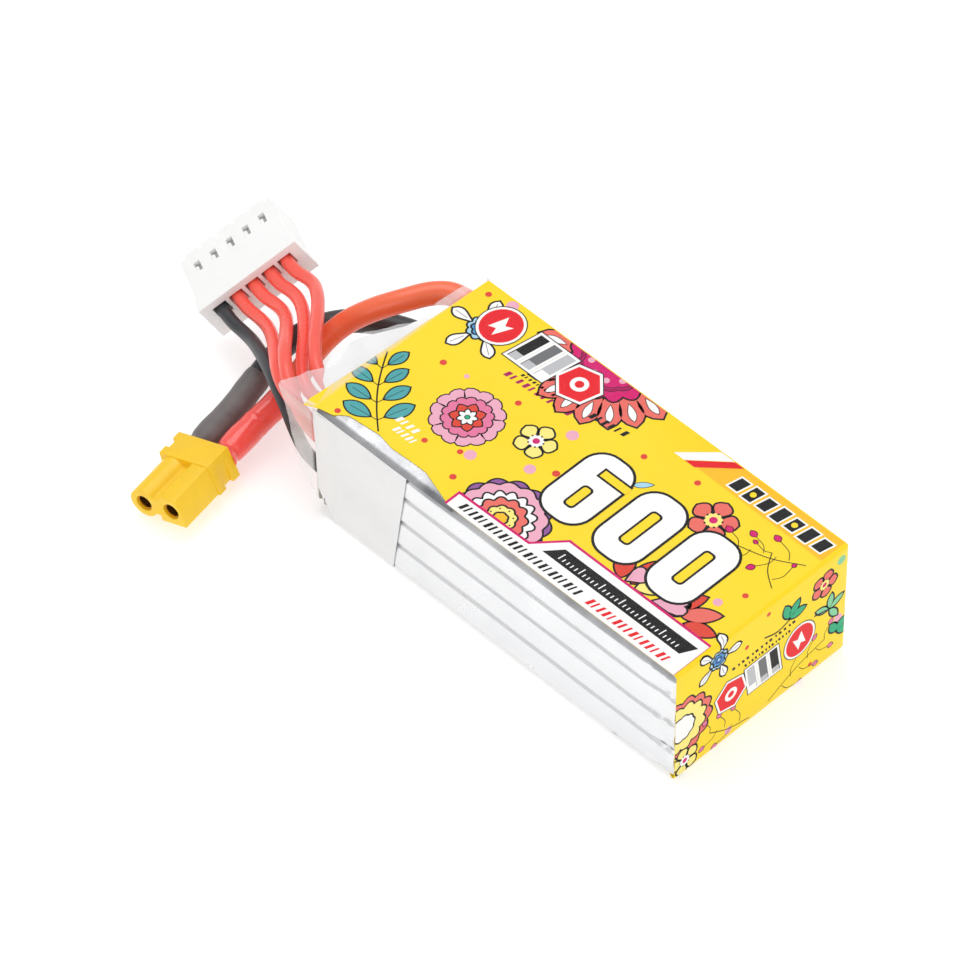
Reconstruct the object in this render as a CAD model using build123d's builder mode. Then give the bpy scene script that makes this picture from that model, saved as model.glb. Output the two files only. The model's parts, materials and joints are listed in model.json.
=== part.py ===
from build123d import *
import os
from math import pi, radians, tan

os.makedirs("parts", exist_ok=True)

# A four-cell pouch battery pack lying on its broad face.
# +X runs along the pack, away from the wires, -Y is the side where the bare pouches show, +Z is up.
# The origin is the centre of the wrapped pack's underside. Millimetres.

# ---------------------------------------------------------------- driving sizes
pack_length = 60.0  # wire end of the label to the outside of the far face
pack_width = 30.0  # outside of the shrink sleeve
cell_count = 4
cell_thickness = 4.4
cell_tape_thickness = 0.2
film_thickness = 0.12
label_thickness = 0.15
paper_thickness = 0.12

film_edge_radius = 0.6
film_lip_width = 1.6  # turned in over the far face
mouth_length = 5.2  # how far the sleeve stands out past the wire end
mouth_root = 0.4  # how far it stands out under the pack
mouth_root_height = 3.2

seal_fold_thickness = 0.5  # side seal folded up against each pouch
seal_fold_height = 3.3
terrace_length = 2.0
terrace_thickness = 0.3
paper_band_width = 11.5

tab_width = 5.0
tab_thickness = 0.2
tab_centre = 5.5  # from the middle of the pack to each tab
tab_fold_height = 1.6

board_thickness = 0.8
board_width = 28.0
board_margin = 0.9  # board to the stack's top and bottom
card_thickness = 0.25
card_width = 28.4
card_gap = 1.0  # board to card, room for the solder
polyimide_thickness = 0.06
polyimide_width = 9.0

lead_diameter = 3.0
lead_core_diameter = 1.5
balance_wire_diameter = 1.7
balance_core_diameter = 0.75
hole_clearance = 0.15
solder_height = 0.6
solder_overlap = 0.55  # how far the solder spreads round a core

plug_pitch = 4.2
plug_barrel_radius = 2.0
plug_barrel_length = 6.6
plug_flange_width = 8.3
plug_flange_height = 4.3
plug_flange_length = 4.1
plug_slant = 0.75  # the positive side leans out towards the bottom
plug_waist_depth = 0.6  # finger notch in the flange's two ends
plug_waist_length = 1.5
socket_radius = 0.95
socket_outer_radius = 1.4
socket_depth = 6.0
socket_recess = 0.4
cup_length = 2.8  # solder cup behind the housing

sleeve_clearance = 0.04
sleeve_wall = 0.2

balance_ways = 5
balance_pitch = 2.5
balance_length = 9.8
balance_height = 5.75
balance_body_width = 14.0
balance_flare_width = 14.9
balance_flare_length = 3.4
cavity_size = 2.0
cavity_rise = 0.8  # the row of cavities sits above the middle of the housing
pin_entry_size = 1.0
pin_entry_length = 0.6
window_length = 1.7
window_width = 0.9
wire_insertion = 1.2
contact_wall = 0.25

# ---------------------------------------------------------------- derived sizes
skin = film_thickness + label_thickness + paper_thickness
stack_height = cell_count * cell_thickness + (cell_count - 1) * cell_tape_thickness
pack_height = stack_height + 2 * skin
wire_face = -30.0  # the wires' routes start here, so a longer pack grows at its far end
far_face = wire_face + pack_length
cell_width = pack_width - 2 * (film_thickness + paper_thickness + 0.06)
cell_far = far_face - film_thickness - label_thickness - 0.03
board_outer = wire_face + 0.7
board_inner = board_outer + board_thickness
terrace_end = board_inner + 0.6
cup_end = terrace_end + terrace_length
card_inner = board_outer - card_gap
card_outer = card_inner - card_thickness
jacket_start = card_inner


def slab(x_low, x_high, width, z_low, z_high):
    """A plain block across the pack, added to the part being built."""
    with Locations(((x_low + x_high) / 2, 0, (z_low + z_high) / 2)):
        Box(x_high - x_low, width, z_high - z_low)


def tangent_radii(points):
    """One radius per corner: 0.45 of the shorter run over the tangent of half the turn."""
    spots = [Vector(*p) for p in points]
    radii = []
    for before, here, after in zip(spots, spots[1:], spots[2:]):
        run_in = here - before
        run_out = after - here
        shorter = min(run_in.length, run_out.length)
        radii.append(0.45 * shorter / tan(radians(run_in.get_angle(run_out)) / 2))
    return radii


def save(piece, name):
    piece.part.label = name
    export_step(piece.part, f"parts/{name}.step")


# ---------------------------------------------------------------- places of the wires
lead_height_positive = 15.4
lead_height_negative = 5.0
lead_side = 12.6
balance_pads = [
    (-12.6, 5.2),
    (-10.4, 7.6),
    (-12.6, 10.4),
    (-9.2, 12.8),
    (-9.4, 15.4),
]

# power plug: lies on the surface that the pack stands on, on its negative edge
plug_centre = Vector(-43.64, -21.4, 3.24)
plug_axis = Vector(0.178, -0.984, 0).normalized()  # towards the mating end
plug_across = Vector(0.952, 0.172, 0.252).normalized()  # towards the positive pole, which is propped up
plug_rear = -plug_flange_length / 2
cup_rear = plug_rear - cup_length

# balance plug: row direction, wire direction and the broad face's normal
balance_centre = Vector(-60.9, 3.3, 6.85)
balance_exit = Vector(0.89, -0.445, 0.097).normalized()
balance_normal = Vector(-0.306, -0.426, 0.85)
balance_normal = (balance_normal - balance_exit * balance_normal.dot(balance_exit)).normalized()
balance_row = balance_normal.cross(balance_exit).normalized()


def plug_point(across, along):
    return plug_centre + plug_across * across + plug_axis * along


def balance_point(way, along):
    """A point on the axis of one way: along is measured from the plug's middle towards the wires."""
    offset = (way - (balance_ways - 1) / 2) * balance_pitch
    return (
        balance_centre
        + balance_row * offset
        + balance_normal * cavity_rise
        + balance_exit * along
    )


positive_end = plug_point(plug_pitch / 2, cup_rear)
negative_end = plug_point(-plug_pitch / 2, cup_rear)
wire_seat = balance_length / 2 - wire_insertion

# Routes, end to end. Main leads run from the board to the power plug.
main_routes = {
    "positive": [
        (jacket_start, lead_side, lead_height_positive),
        (-33.3, lead_side, lead_height_positive),
        (-35.8, 10.8, 15.2),
        (-37.9, 7.5, 14.6),
        (-40.6, 4.6, 13.0),
        (-42.8, 2.0, 10.8),
        (-43.8, -1.2, 8.4),
        (-43.6, -4.6, 6.2),
        (-43.2, -8.0, 4.6),
        tuple(positive_end - plug_axis * 3.8),
        tuple(positive_end),
    ],
    "negative": [
        (jacket_start, lead_side, lead_height_negative),
        (-33.6, lead_side, lead_height_negative),
        (-37.8, 11.2, 5.6),
        (-42.2, 8.8, 6.3),
        (-46.4, 5.0, 6.6),
        (-48.6, 0.0, 6.1),
        (-48.6, -4.8, 5.0),
        (-47.9, -9.0, 3.6),
        tuple(negative_end - plug_axis * 3.8),
        tuple(negative_end),
    ],
}

# Balance wires run from the balance plug to the board.
wire_lead_out = wire_seat + 2.8
board_lead_in = jacket_start - 2.0
balance_routes = [
    [
        tuple(balance_point(0, wire_seat)),
        tuple(balance_point(0, wire_lead_out)),
        (-52.2, -4.6, 6.3),
        (-48.6, -6.6, 8.6),
        (-44.8, -8.8, 10.6),
        (-41.2, -10.9, 11.8),
        (-37.9, -12.4, 11.6),
        (-35.3, -13.3, 9.6),
        (-33.9, -13.1, 6.9),
        (board_lead_in, *balance_pads[0]),
        (jacket_start, *balance_pads[0]),
    ],
    [
        tuple(balance_point(1, wire_seat)),
        tuple(balance_point(1, wire_lead_out)),
        (-51.6, -2.6, 8.0),
        (-47.8, -4.9, 10.2),
        (-44.2, -7.9, 12.4),
        (-40.8, -10.8, 13.9),
        (-37.9, -12.3, 13.8),
        (-35.6, -12.0, 12.1),
        (-33.9, -11.1, 9.4),
        (board_lead_in, *balance_pads[1]),
        (jacket_start, *balance_pads[1]),
    ],
    [
        tuple(balance_point(2, wire_seat)),
        tuple(balance_point(2, wire_lead_out)),
        (-51.0, -0.4, 9.4),
        (-47.6, -2.6, 11.6),
        (-44.2, -6.0, 14.1),
        (-40.8, -9.6, 16.3),
        (-37.6, -12.2, 16.7),
        (-35.2, -13.3, 15.3),
        (-34.0, -13.2, 12.5),
        (board_lead_in, *balance_pads[2]),
        (jacket_start, *balance_pads[2]),
    ],
    [
        tuple(balance_point(3, wire_seat)),
        tuple(balance_point(3, wire_lead_out)),
        (-50.4, 1.6, 10.8),
        (-46.6, -0.7, 12.4),
        (-43.0, -4.0, 13.6),
        (-39.6, -7.8, 14.4),
        (-36.8, -10.4, 14.8),
        (-34.4, -10.8, 14.0),
        (board_lead_in, *balance_pads[3]),
        (jacket_start, *balance_pads[3]),
    ],
    [
        tuple(balance_point(4, wire_seat)),
        tuple(balance_point(4, wire_lead_out)),
        (-49.6, 3.8, 12.0),
        (-46.0, 1.2, 14.0),
        (-42.4, -2.4, 15.8),
        (-38.8, -6.4, 16.9),
        (-35.8, -9.1, 17.2),
        (-33.8, -9.6, 16.4),
        (board_lead_in, *balance_pads[4]),
        (jacket_start, *balance_pads[4]),
    ],
]

# ---------------------------------------------------------------- cells
for index in range(cell_count):
    base = skin + index * (cell_thickness + cell_tape_thickness)
    middle = base + cell_thickness / 2
    name = f"cell_{index + 1}"

    with BuildPart() as pouch:
        slab(cup_end, cell_far, cell_width - 2 * seal_fold_thickness, base, base + cell_thickness)
        fillet(pouch.edges(), radius=0.8)
        for side in (-1, 1):
            fold_centre = side * (cell_width - seal_fold_thickness - 0.1) / 2
            with BuildSketch(Plane.YZ.offset(cup_end + 1.0)):
                with Locations((fold_centre, middle)):
                    RectangleRounded(seal_fold_thickness + 0.1, seal_fold_height, 0.2)
            extrude(amount=cell_far - cup_end - 1.8)
        slab(
            terrace_end,
            cup_end + 0.5,
            cell_width - 2.4,
            middle - terrace_thickness / 2,
            middle + terrace_thickness / 2,
        )
    save(pouch, name)

    # The poles change sides from one cell to the next, so that neighbours' tabs meet.
    positive_side = -1 if index % 2 == 0 else 1
    for pole, side in (("positive", positive_side), ("negative", -positive_side)):
        first_or_last = (index == 0 and pole == "negative") or (
            index == cell_count - 1 and pole == "positive"
        )
        joins_upwards = (pole == "positive") if not first_or_last else (index == 0)
        fold = 1 if joins_upwards else -1
        with BuildPart() as tab:
            with BuildSketch(Plane.XZ.offset(-side * tab_centre - tab_width / 2)):
                with BuildLine():
                    Polyline(
                        (terrace_end, middle - tab_thickness / 2),
                        (board_outer - tab_thickness, middle - tab_thickness / 2),
                        (board_outer - tab_thickness, middle + tab_thickness / 2),
                        (terrace_end, middle + tab_thickness / 2),
                        close=True,
                    )
                make_face()
                with BuildLine():
                    Polyline(
                        (board_outer - tab_thickness, middle - tab_thickness / 2 * fold),
                        (board_outer, middle - tab_thickness / 2 * fold),
                        (board_outer, middle + tab_fold_height * fold),
                        (board_outer - tab_thickness, middle + tab_fold_height * fold),
                        close=True,
                    )
                make_face()
            extrude(amount=tab_width)
        save(tab, f"{name}_{pole}_tab")

for index in range(cell_count - 1):
    base = skin + (index + 1) * cell_thickness + index * cell_tape_thickness
    with BuildPart() as cell_tape:
        slab(-20.0, 24.0, 22.0, base, base + cell_tape_thickness)
        fillet(cell_tape.edges().filter_by(Axis.Z), radius=1.0)
    save(cell_tape, f"cell_tape_{index + 1}")

# ---------------------------------------------------------------- series board and wire end
board_low = skin + board_margin
board_high = pack_height - skin - board_margin
board_middle = (board_low + board_high) / 2
solder_spots = [
    (lead_side, lead_height_positive, lead_core_diameter),
    (lead_side, lead_height_negative, lead_core_diameter),
] + [(y, z, balance_core_diameter) for y, z in balance_pads]

with BuildPart() as series_board:
    with BuildSketch(Plane.YZ.offset(board_outer)):
        with Locations((0, board_middle)):
            RectangleRounded(board_width, board_high - board_low, 0.8)
        for index in range(cell_count):
            middle = skin + index * (cell_thickness + cell_tape_thickness) + cell_thickness / 2
            with Locations((-tab_centre, middle), (tab_centre, middle)):
                Rectangle(tab_width + 0.4, tab_thickness + 0.1, mode=Mode.SUBTRACT)
    extrude(amount=board_thickness)
save(series_board, "series_board")

with BuildPart() as wire_cores:
    for y, z, core in solder_spots:
        with BuildSketch(Plane.YZ.offset(board_outer)):
            with Locations((y, z)):
                Circle(core / 2)
        extrude(amount=-card_gap)
save(wire_cores, "wire_cores")

with BuildPart() as solder_joints:
    for y, z, core in solder_spots:
        for radius_share, height in ((1.0, 0.3), (0.55, solder_height)):
            with BuildSketch(Plane.YZ.offset(board_outer)):
                with Locations((y, z)):
                    Circle(core / 2 + solder_overlap * radius_share)
            extrude(amount=-height)
        with BuildSketch(Plane.YZ.offset(board_outer)):
            with Locations((y, z)):
                Circle(core / 2)
        extrude(amount=-solder_height, mode=Mode.SUBTRACT)
save(solder_joints, "solder_joints")

with BuildPart() as insulating_card:
    with BuildSketch(Plane.YZ.offset(card_inner)):
        with Locations((0, board_middle)):
            RectangleRounded(card_width, board_high - board_low, 0.8)
        with Locations((lead_side, lead_height_positive), (lead_side, lead_height_negative)):
            Circle(lead_diameter / 2 + hole_clearance, mode=Mode.SUBTRACT)
        with Locations(*balance_pads):
            Circle(balance_wire_diameter / 2 + hole_clearance, mode=Mode.SUBTRACT)
    extrude(amount=-card_thickness)
save(insulating_card, "insulating_card")

with BuildPart() as polyimide_patch:
    with BuildSketch(Plane.YZ.offset(card_outer)):
        with Locations((0.8, board_middle)):
            Rectangle(polyimide_width * 1.6, polyimide_width)
    extrude(amount=-polyimide_thickness)
save(polyimide_patch, "polyimide_patch")

# ---------------------------------------------------------------- paper band, label and sleeve
band_outer_width = cell_width + 2 * paper_thickness
band_outer_height = stack_height + 2 * paper_thickness
with BuildPart() as paper_band:
    with BuildSketch(Plane.YZ.offset(wire_face + 0.3)):
        with Locations((0, pack_height / 2)):
            RectangleRounded(band_outer_width, band_outer_height, 0.5)
            RectangleRounded(cell_width, stack_height, 0.4, mode=Mode.SUBTRACT)
    extrude(amount=paper_band_width)
save(paper_band, "paper_band")

label_edge = pack_width / 2 - film_edge_radius
label_outer_far = far_face - film_thickness
label_low = film_thickness
label_high = pack_height - film_thickness
label_fold_radius = 0.5
with BuildPart() as label:
    with BuildSketch(Plane.XZ.offset(-label_edge)):
        with BuildLine():
            Polyline(
                (wire_face, label_low),
                (label_outer_far, label_low),
                (label_outer_far, label_high),
                (wire_face, label_high),
                (wire_face, label_high - label_thickness),
                (label_outer_far - label_thickness, label_high - label_thickness),
                (label_outer_far - label_thickness, label_low + label_thickness),
                (wire_face, label_low + label_thickness),
                close=True,
            )
        make_face()
    extrude(amount=2 * label_edge)
    # the top panel's near edge steps back towards the wire end and shows the pouch under it
    with BuildSketch(Plane.XY.offset(label_high - label_thickness)):
        with BuildLine():
            Polyline(
                (wire_face + 2.6, -label_edge - 1),
                (wire_face + 2.6, -label_edge + 0.1),
                (wire_face + 3.4, -label_edge + 1.2),
                (wire_face + 16.6, -label_edge + 2.3),
                (wire_face + 18.4, -label_edge + 0.1),
                (wire_face + 18.4, -label_edge - 1),
                close=True,
            )
        make_face()
    extrude(amount=label_thickness, mode=Mode.SUBTRACT)
    outer_folds = label.edges().filter_by(Axis.Y).group_by(Axis.X)[-1]
    fillet(outer_folds, radius=label_fold_radius)
    inner_folds = (
        label.edges()
        .filter_by(Axis.Y)
        .filter_by_position(
            Axis.X,
            label_outer_far - label_thickness - 0.01,
            label_outer_far - label_thickness + 0.01,
        )
    )
    fillet(inner_folds, radius=label_fold_radius - label_thickness)
save(label, "label")

with BuildPart() as shrink_sleeve:
    with BuildSketch(Plane.YZ.offset(wire_face - mouth_length)):
        with Locations((0, pack_height / 2)):
            RectangleRounded(pack_width, pack_height, film_edge_radius)
    extrude(amount=pack_length + mouth_length)
    with BuildSketch(Plane.YZ.offset(wire_face - mouth_length)):
        with Locations((0, pack_height / 2)):
            RectangleRounded(
                pack_width - 2 * film_thickness,
                pack_height - 2 * film_thickness,
                film_edge_radius - film_thickness,
            )
    extrude(amount=pack_length + mouth_length - film_thickness, mode=Mode.SUBTRACT)
    with BuildSketch(Plane.YZ.offset(far_face)):
        with Locations((0, pack_height / 2)):
            RectangleRounded(pack_width - 2 * film_lip_width, pack_height - 2 * film_lip_width, 1.5)
    extrude(amount=-2 * film_thickness, mode=Mode.SUBTRACT)
    # the mouth is cut back under the pack, in a curve that ends high at the top
    with BuildSketch(Plane.XZ.offset(-pack_width)):
        with BuildLine():
            rise = Spline(
                (wire_face - mouth_root, mouth_root_height),
                (wire_face - 0.72 * mouth_length, 0.42 * pack_height),
                (wire_face - mouth_length, pack_height + 0.5),
                tangents=[(-0.85, 0.5), (-0.05, 1)],
            )
            Polyline(
                rise @ 1,
                (wire_face - mouth_length - 2, pack_height + 0.5),
                (wire_face - mouth_length - 2, -1),
                (wire_face - mouth_root, -1),
                rise @ 0,
            )
        make_face()
    extrude(amount=2 * pack_width, mode=Mode.SUBTRACT)
save(shrink_sleeve, "shrink_sleeve")

# ---------------------------------------------------------------- power plug
plug_section = Plane(origin=plug_centre, x_dir=plug_across, z_dir=plug_axis)


def plug_outline(width, height):
    """An upright outline whose positive side leans out towards the bottom."""
    return [
        (-width / 2, -height / 2),
        (width / 2, -height / 2),
        (width / 2 - plug_slant, height / 2),
        (-width / 2, height / 2),
    ]


with BuildPart() as power_plug_housing:
    with BuildSketch(plug_section.offset(-plug_flange_length / 2)):
        with BuildLine():
            Polyline(*plug_outline(plug_flange_width, plug_flange_height), close=True)
        make_face()
    extrude(amount=plug_flange_length)
    with BuildSketch(plug_section.offset(-plug_waist_length / 2)):
        with Locations((-plug_flange_width / 2, 0), (plug_flange_width / 2, 0)):
            Rectangle(2 * plug_waist_depth, 2 * plug_flange_height)
    extrude(amount=plug_waist_length, mode=Mode.SUBTRACT)
    with BuildSketch(plug_section.offset(plug_flange_length / 2)):
        with Locations((-plug_pitch / 2, 0)):
            Circle(plug_barrel_radius)
        with BuildLine():
            Polyline(
                (plug_pitch / 2 - plug_barrel_radius + 0.1, -plug_barrel_radius),
                (plug_pitch / 2 + plug_barrel_radius - 0.15, -plug_barrel_radius),
                (plug_pitch / 2 + plug_barrel_radius - 0.15 - plug_slant, plug_barrel_radius),
                (plug_pitch / 2 - plug_barrel_radius + 0.9, plug_barrel_radius),
                (plug_pitch / 2 - plug_barrel_radius + 0.1, plug_barrel_radius - 0.8),
                close=True,
            )
        make_face()
        Rectangle(1.0, 2.4)
    extrude(amount=plug_barrel_length)
    with BuildSketch(plug_section.offset(plug_rear)):
        with Locations((-plug_pitch / 2, 0), (plug_pitch / 2, 0)):
            Circle(socket_outer_radius)
    extrude(amount=plug_flange_length + plug_barrel_length - socket_recess, mode=Mode.SUBTRACT)
    with BuildSketch(plug_section.offset(plug_flange_length / 2 + plug_barrel_length)):
        with Locations((-plug_pitch / 2, 0), (plug_pitch / 2, 0)):
            Circle(socket_radius + 0.2)
    extrude(amount=-2 * socket_recess, mode=Mode.SUBTRACT)
save(power_plug_housing, "power_plug_housing")

socket_front = plug_flange_length / 2 + plug_barrel_length - socket_recess
for pole, side in (("positive", 1), ("negative", -1)):
    with BuildPart() as socket:
        with BuildSketch(plug_section.offset(cup_rear)):
            with Locations((side * plug_pitch / 2, 0)):
                Circle(socket_outer_radius)
        extrude(amount=socket_front - cup_rear)
        with BuildSketch(plug_section.offset(socket_front)):
            with Locations((side * plug_pitch / 2, 0)):
                Circle(socket_radius)
        extrude(amount=-socket_depth, mode=Mode.SUBTRACT)
    save(socket, f"power_socket_{pole}")

# ---------------------------------------------------------------- balance plug
balance_plane = Plane(origin=balance_centre, x_dir=balance_row, z_dir=balance_normal)
mating_end = balance_length / 2
wire_end = -balance_length / 2
way_offsets = [(way - (balance_ways - 1) / 2) * balance_pitch for way in range(balance_ways)]
end_section = Plane(
    origin=balance_centre + balance_normal * cavity_rise + balance_exit * (balance_length / 2),
    x_dir=balance_row,
    z_dir=balance_exit * -1,
)

with BuildPart() as balance_plug_housing:
    with BuildSketch(balance_plane.offset(-balance_height / 2)):
        with BuildLine():
            Polyline(
                (-balance_flare_width / 2, wire_end),
                (balance_flare_width / 2, wire_end),
                (balance_flare_width / 2, wire_end + 0.8),
                (balance_body_width / 2, wire_end + balance_flare_length),
                (balance_body_width / 2, mating_end - 0.6),
                (-balance_body_width / 2, mating_end - 0.6),
                (-balance_body_width / 2, wire_end + balance_flare_length),
                (-balance_flare_width / 2, wire_end + 0.8),
                close=True,
            )
        make_face()
        with Locations(*[(offset, mating_end - 0.6) for offset in way_offsets]):
            RectangleRounded(balance_pitch - 0.35, 1.2, 0.35)
    extrude(amount=balance_height)
    # a cavity for each contact, with a small square way in for the mating pin
    with BuildSketch(end_section):
        with Locations(*[(offset, 0) for offset in way_offsets]):
            Rectangle(cavity_size, cavity_size)
    extrude(amount=balance_length - pin_entry_length, mode=Mode.SUBTRACT)
    with BuildSketch(end_section):
        with Locations(*[(offset, 0) for offset in way_offsets]):
            Rectangle(pin_entry_size, pin_entry_size)
    extrude(amount=balance_length + 1, mode=Mode.SUBTRACT)
    # a window over each contact's latch
    with BuildSketch(balance_plane.offset(0)):
        with Locations(*[(offset, mating_end - 3.0) for offset in way_offsets]):
            Rectangle(window_width, window_length)
    extrude(amount=balance_height, mode=Mode.SUBTRACT)
save(balance_plug_housing, "balance_plug_housing")

for way, offset in enumerate(way_offsets):
    with BuildPart() as contact:
        with BuildSketch(end_section.offset(wire_insertion)):
            with Locations((offset, 0)):
                Rectangle(cavity_size - 0.2, cavity_size - 0.2)
                Rectangle(
                    cavity_size - 0.2 - 2 * contact_wall,
                    cavity_size - 0.2 - 2 * contact_wall,
                    mode=Mode.SUBTRACT,
                )
        extrude(amount=balance_length - pin_entry_length - wire_insertion - 0.2)
        with BuildSketch(end_section.offset(wire_insertion)):
            with Locations((offset, 0)):
                Rectangle(cavity_size - 0.2, cavity_size - 0.2)
        extrude(amount=1.0)
        with BuildSketch(balance_plane.offset(cavity_rise + cavity_size / 2 - 0.15)):
            with Locations((offset, mating_end - 3.0)):
                Rectangle(window_width - 0.2, window_length - 0.3)
        extrude(amount=0.6)
    save(contact, f"balance_contact_{way + 1}")


# ---------------------------------------------------------------- leads and wires
def tube(points, radii, diameter, bore=0.0):
    """A round tube along straight runs joined by tangent arcs."""
    with BuildPart() as made:
        with BuildLine() as path:
            FilletPolyline(*points, radius=radii)
        spine = path.wire()
        with BuildSketch(Plane(origin=spine @ 0, z_dir=spine % 0)):
            Circle(diameter / 2)
            if bore:
                Circle(bore / 2, mode=Mode.SUBTRACT)
        sweep(path=spine)
    return made, spine.length


def free_wire(name, points, diameter):
    """A lead or wire in a node of its own, with its tightest arc and its volume printed."""
    radii = tangent_radii(points)
    wire, length = tube(points, radii, diameter)
    save(wire, name)
    share = wire.part.volume / (length * pi * diameter**2 / 4)
    print(
        f"{name}: length {length:.2f}, radii {[round(radius, 1) for radius in radii]},"
        f" tightest {min(radii) / diameter:.2f} diameters, volume share {share:.4f}"
    )


for pole, points in main_routes.items():
    free_wire(f"main_lead_{pole}", points, lead_diameter)

    # The heat-shrink sleeve starts midway along a run of its lead and ends at the housing.
    side = 1 if pole == "positive" else -1
    sleeve_points = [
        tuple((Vector(*points[-4]) + Vector(*points[-3])) / 2),
        *points[-3:-1],
        tuple(plug_point(side * plug_pitch / 2, plug_rear)),
    ]
    sleeve_bore = lead_diameter + 2 * sleeve_clearance
    sleeve, length = tube(
        sleeve_points, tangent_radii(points)[-2:], sleeve_bore + 2 * sleeve_wall, sleeve_bore
    )
    save(sleeve, f"heat_shrink_{pole}")
    print(f"heat_shrink_{pole}: length {length:.2f}")

for way, points in enumerate(balance_routes):
    free_wire(f"balance_wire_{way + 1}", points, balance_wire_diameter)
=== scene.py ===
"""Looks for a shrink-wrapped pouch battery pack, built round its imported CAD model."""

import json
import math

import bmesh
import bpy
from bpy.props import FloatProperty, FloatVectorProperty, IntProperty, PointerProperty
from mathutils import Matrix, Vector, noise

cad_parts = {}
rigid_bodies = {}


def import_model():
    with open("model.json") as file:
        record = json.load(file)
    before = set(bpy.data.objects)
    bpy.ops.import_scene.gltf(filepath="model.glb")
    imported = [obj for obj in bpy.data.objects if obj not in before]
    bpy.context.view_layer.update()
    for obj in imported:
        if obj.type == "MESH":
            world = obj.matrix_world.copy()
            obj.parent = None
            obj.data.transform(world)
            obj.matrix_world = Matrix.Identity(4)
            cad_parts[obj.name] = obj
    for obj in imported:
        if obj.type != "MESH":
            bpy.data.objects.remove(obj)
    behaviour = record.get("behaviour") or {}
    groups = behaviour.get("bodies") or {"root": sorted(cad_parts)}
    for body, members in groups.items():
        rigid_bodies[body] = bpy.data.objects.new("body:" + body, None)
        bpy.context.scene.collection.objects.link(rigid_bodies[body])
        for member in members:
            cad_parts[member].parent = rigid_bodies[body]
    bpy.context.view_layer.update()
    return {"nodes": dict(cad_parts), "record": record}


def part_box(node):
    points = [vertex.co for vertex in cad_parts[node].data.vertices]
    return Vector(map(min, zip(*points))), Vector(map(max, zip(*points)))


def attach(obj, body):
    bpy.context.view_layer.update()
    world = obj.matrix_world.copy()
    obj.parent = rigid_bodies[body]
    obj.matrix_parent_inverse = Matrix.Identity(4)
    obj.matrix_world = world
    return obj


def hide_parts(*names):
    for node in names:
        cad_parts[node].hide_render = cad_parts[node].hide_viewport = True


bl_info = {
    "name": "Battery Pack Looks",
    "version": (1, 0, 0),
    "blender": (4, 5, 0),
    "location": "View3D > Sidebar > Battery Pack",
    "description": "Models and finishes the pieces of a small shrink-wrapped battery pack",
    "category": "Object",
}

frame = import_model()
nodes = frame["nodes"]

MM = 0.001
LABEL_LOW, LABEL_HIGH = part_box("label")
LABEL_FOLD = 0.5  # millimetres, radius of the label's folds
LABEL_EDGE = 14.45  # millimetres, half the label's width
DROOP_START = 14.2  # millimetres from the middle, where the label starts to turn down at its long edges
FIRST_LAYER = 0.006  # millimetres, height of the lowest ink over the label


# ---------------------------------------------------------------- settings
def colour_setting(name, description, default):
    return FloatVectorProperty(
        name=name, description=description, default=default, subtype="COLOR", size=3, min=0, max=1
    )


def length_setting(name, description, default):
    return FloatProperty(
        name=name, description=description, default=default, unit="LENGTH", min=0, precision=5
    )


class WireSettings(bpy.types.PropertyGroup):
    lead_diameter: length_setting("Lead diameter", "Outside of a main lead's jacket", 3.0 * MM)
    wire_diameter: length_setting("Balance wire diameter", "Outside of a balance wire's jacket", 1.7 * MM)
    sleeve_diameter: length_setting("Heat-shrink diameter", "Outside of the shrunk sleeve", 3.48 * MM)
    lead: colour_setting("Red lead", "Red silicone of the thick lead", (1.0, 0.17, 0.065))
    red: colour_setting("Red jacket", "Red silicone", (1.0, 0.115, 0.08))
    black: colour_setting("Black jacket", "Black silicone", (0.022, 0.023, 0.026))


class LabelSettings(bpy.types.PropertyGroup):
    ground: colour_setting("Label ground", "The label's base colour", (1.0, 0.72, 0.02))
    line_width: length_setting("Ink line width", "Width of the drawn outlines", 0.25 * MM)
    sheet_thickness: length_setting("Sheet thickness", "Thickness of the label film", 0.06 * MM)
    layer_step: length_setting("Ink layer", "Height from one printed layer to the next", 0.0022 * MM)


class WrapSettings(bpy.types.PropertyGroup):
    film_thickness: length_setting("Film thickness", "Thickness of the clear sleeve", 0.05 * MM)
    mouth_crinkle: length_setting("Mouth crinkle", "How far the mouth's film waves", 0.2 * MM)
    foil: colour_setting("Pouch foil", "Silver laminate of the pouches", (0.9, 0.905, 0.915))


class PlugSettings(bpy.types.PropertyGroup):
    yellow: colour_setting("Power plug", "Yellow nylon of the power plug", (1.0, 0.63, 0.012))
    white: colour_setting("Balance plug", "White nylon of the balance plug", (0.95, 0.95, 0.94))
    edge_radius: length_setting("Edge radius", "Soft edge of the moulded plugs", 0.28 * MM)
    edge_steps: IntProperty(name="Edge steps", description="Segments in a soft edge", default=3, min=1)


class StageSettings(bpy.types.PropertyGroup):
    floor: colour_setting("Floor", "Colour of the floor", (0.6, 0.6, 0.6))
    glow: FloatProperty(name="Floor glow", description="Light given off by the floor", default=0.55, min=0)
    key_power: FloatProperty(name="Key light", description="Power of the large light", default=1.55, min=0)
    fill: FloatProperty(name="Fill", description="Strength of the light from all round", default=0.68, min=0)


# ---------------------------------------------------------------- modelling helpers
def let_go():
    if bpy.context.object and bpy.context.object.mode != "OBJECT":
        bpy.ops.object.mode_set(mode="OBJECT")
    bpy.ops.object.select_all(action="DESELECT")


def take(obj):
    let_go()
    obj.select_set(True)
    bpy.context.view_layer.objects.active = obj


def fresh(name):
    """Names the primitive that was just added."""
    obj = bpy.context.object
    obj.name = obj.data.name = name
    return obj


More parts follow.
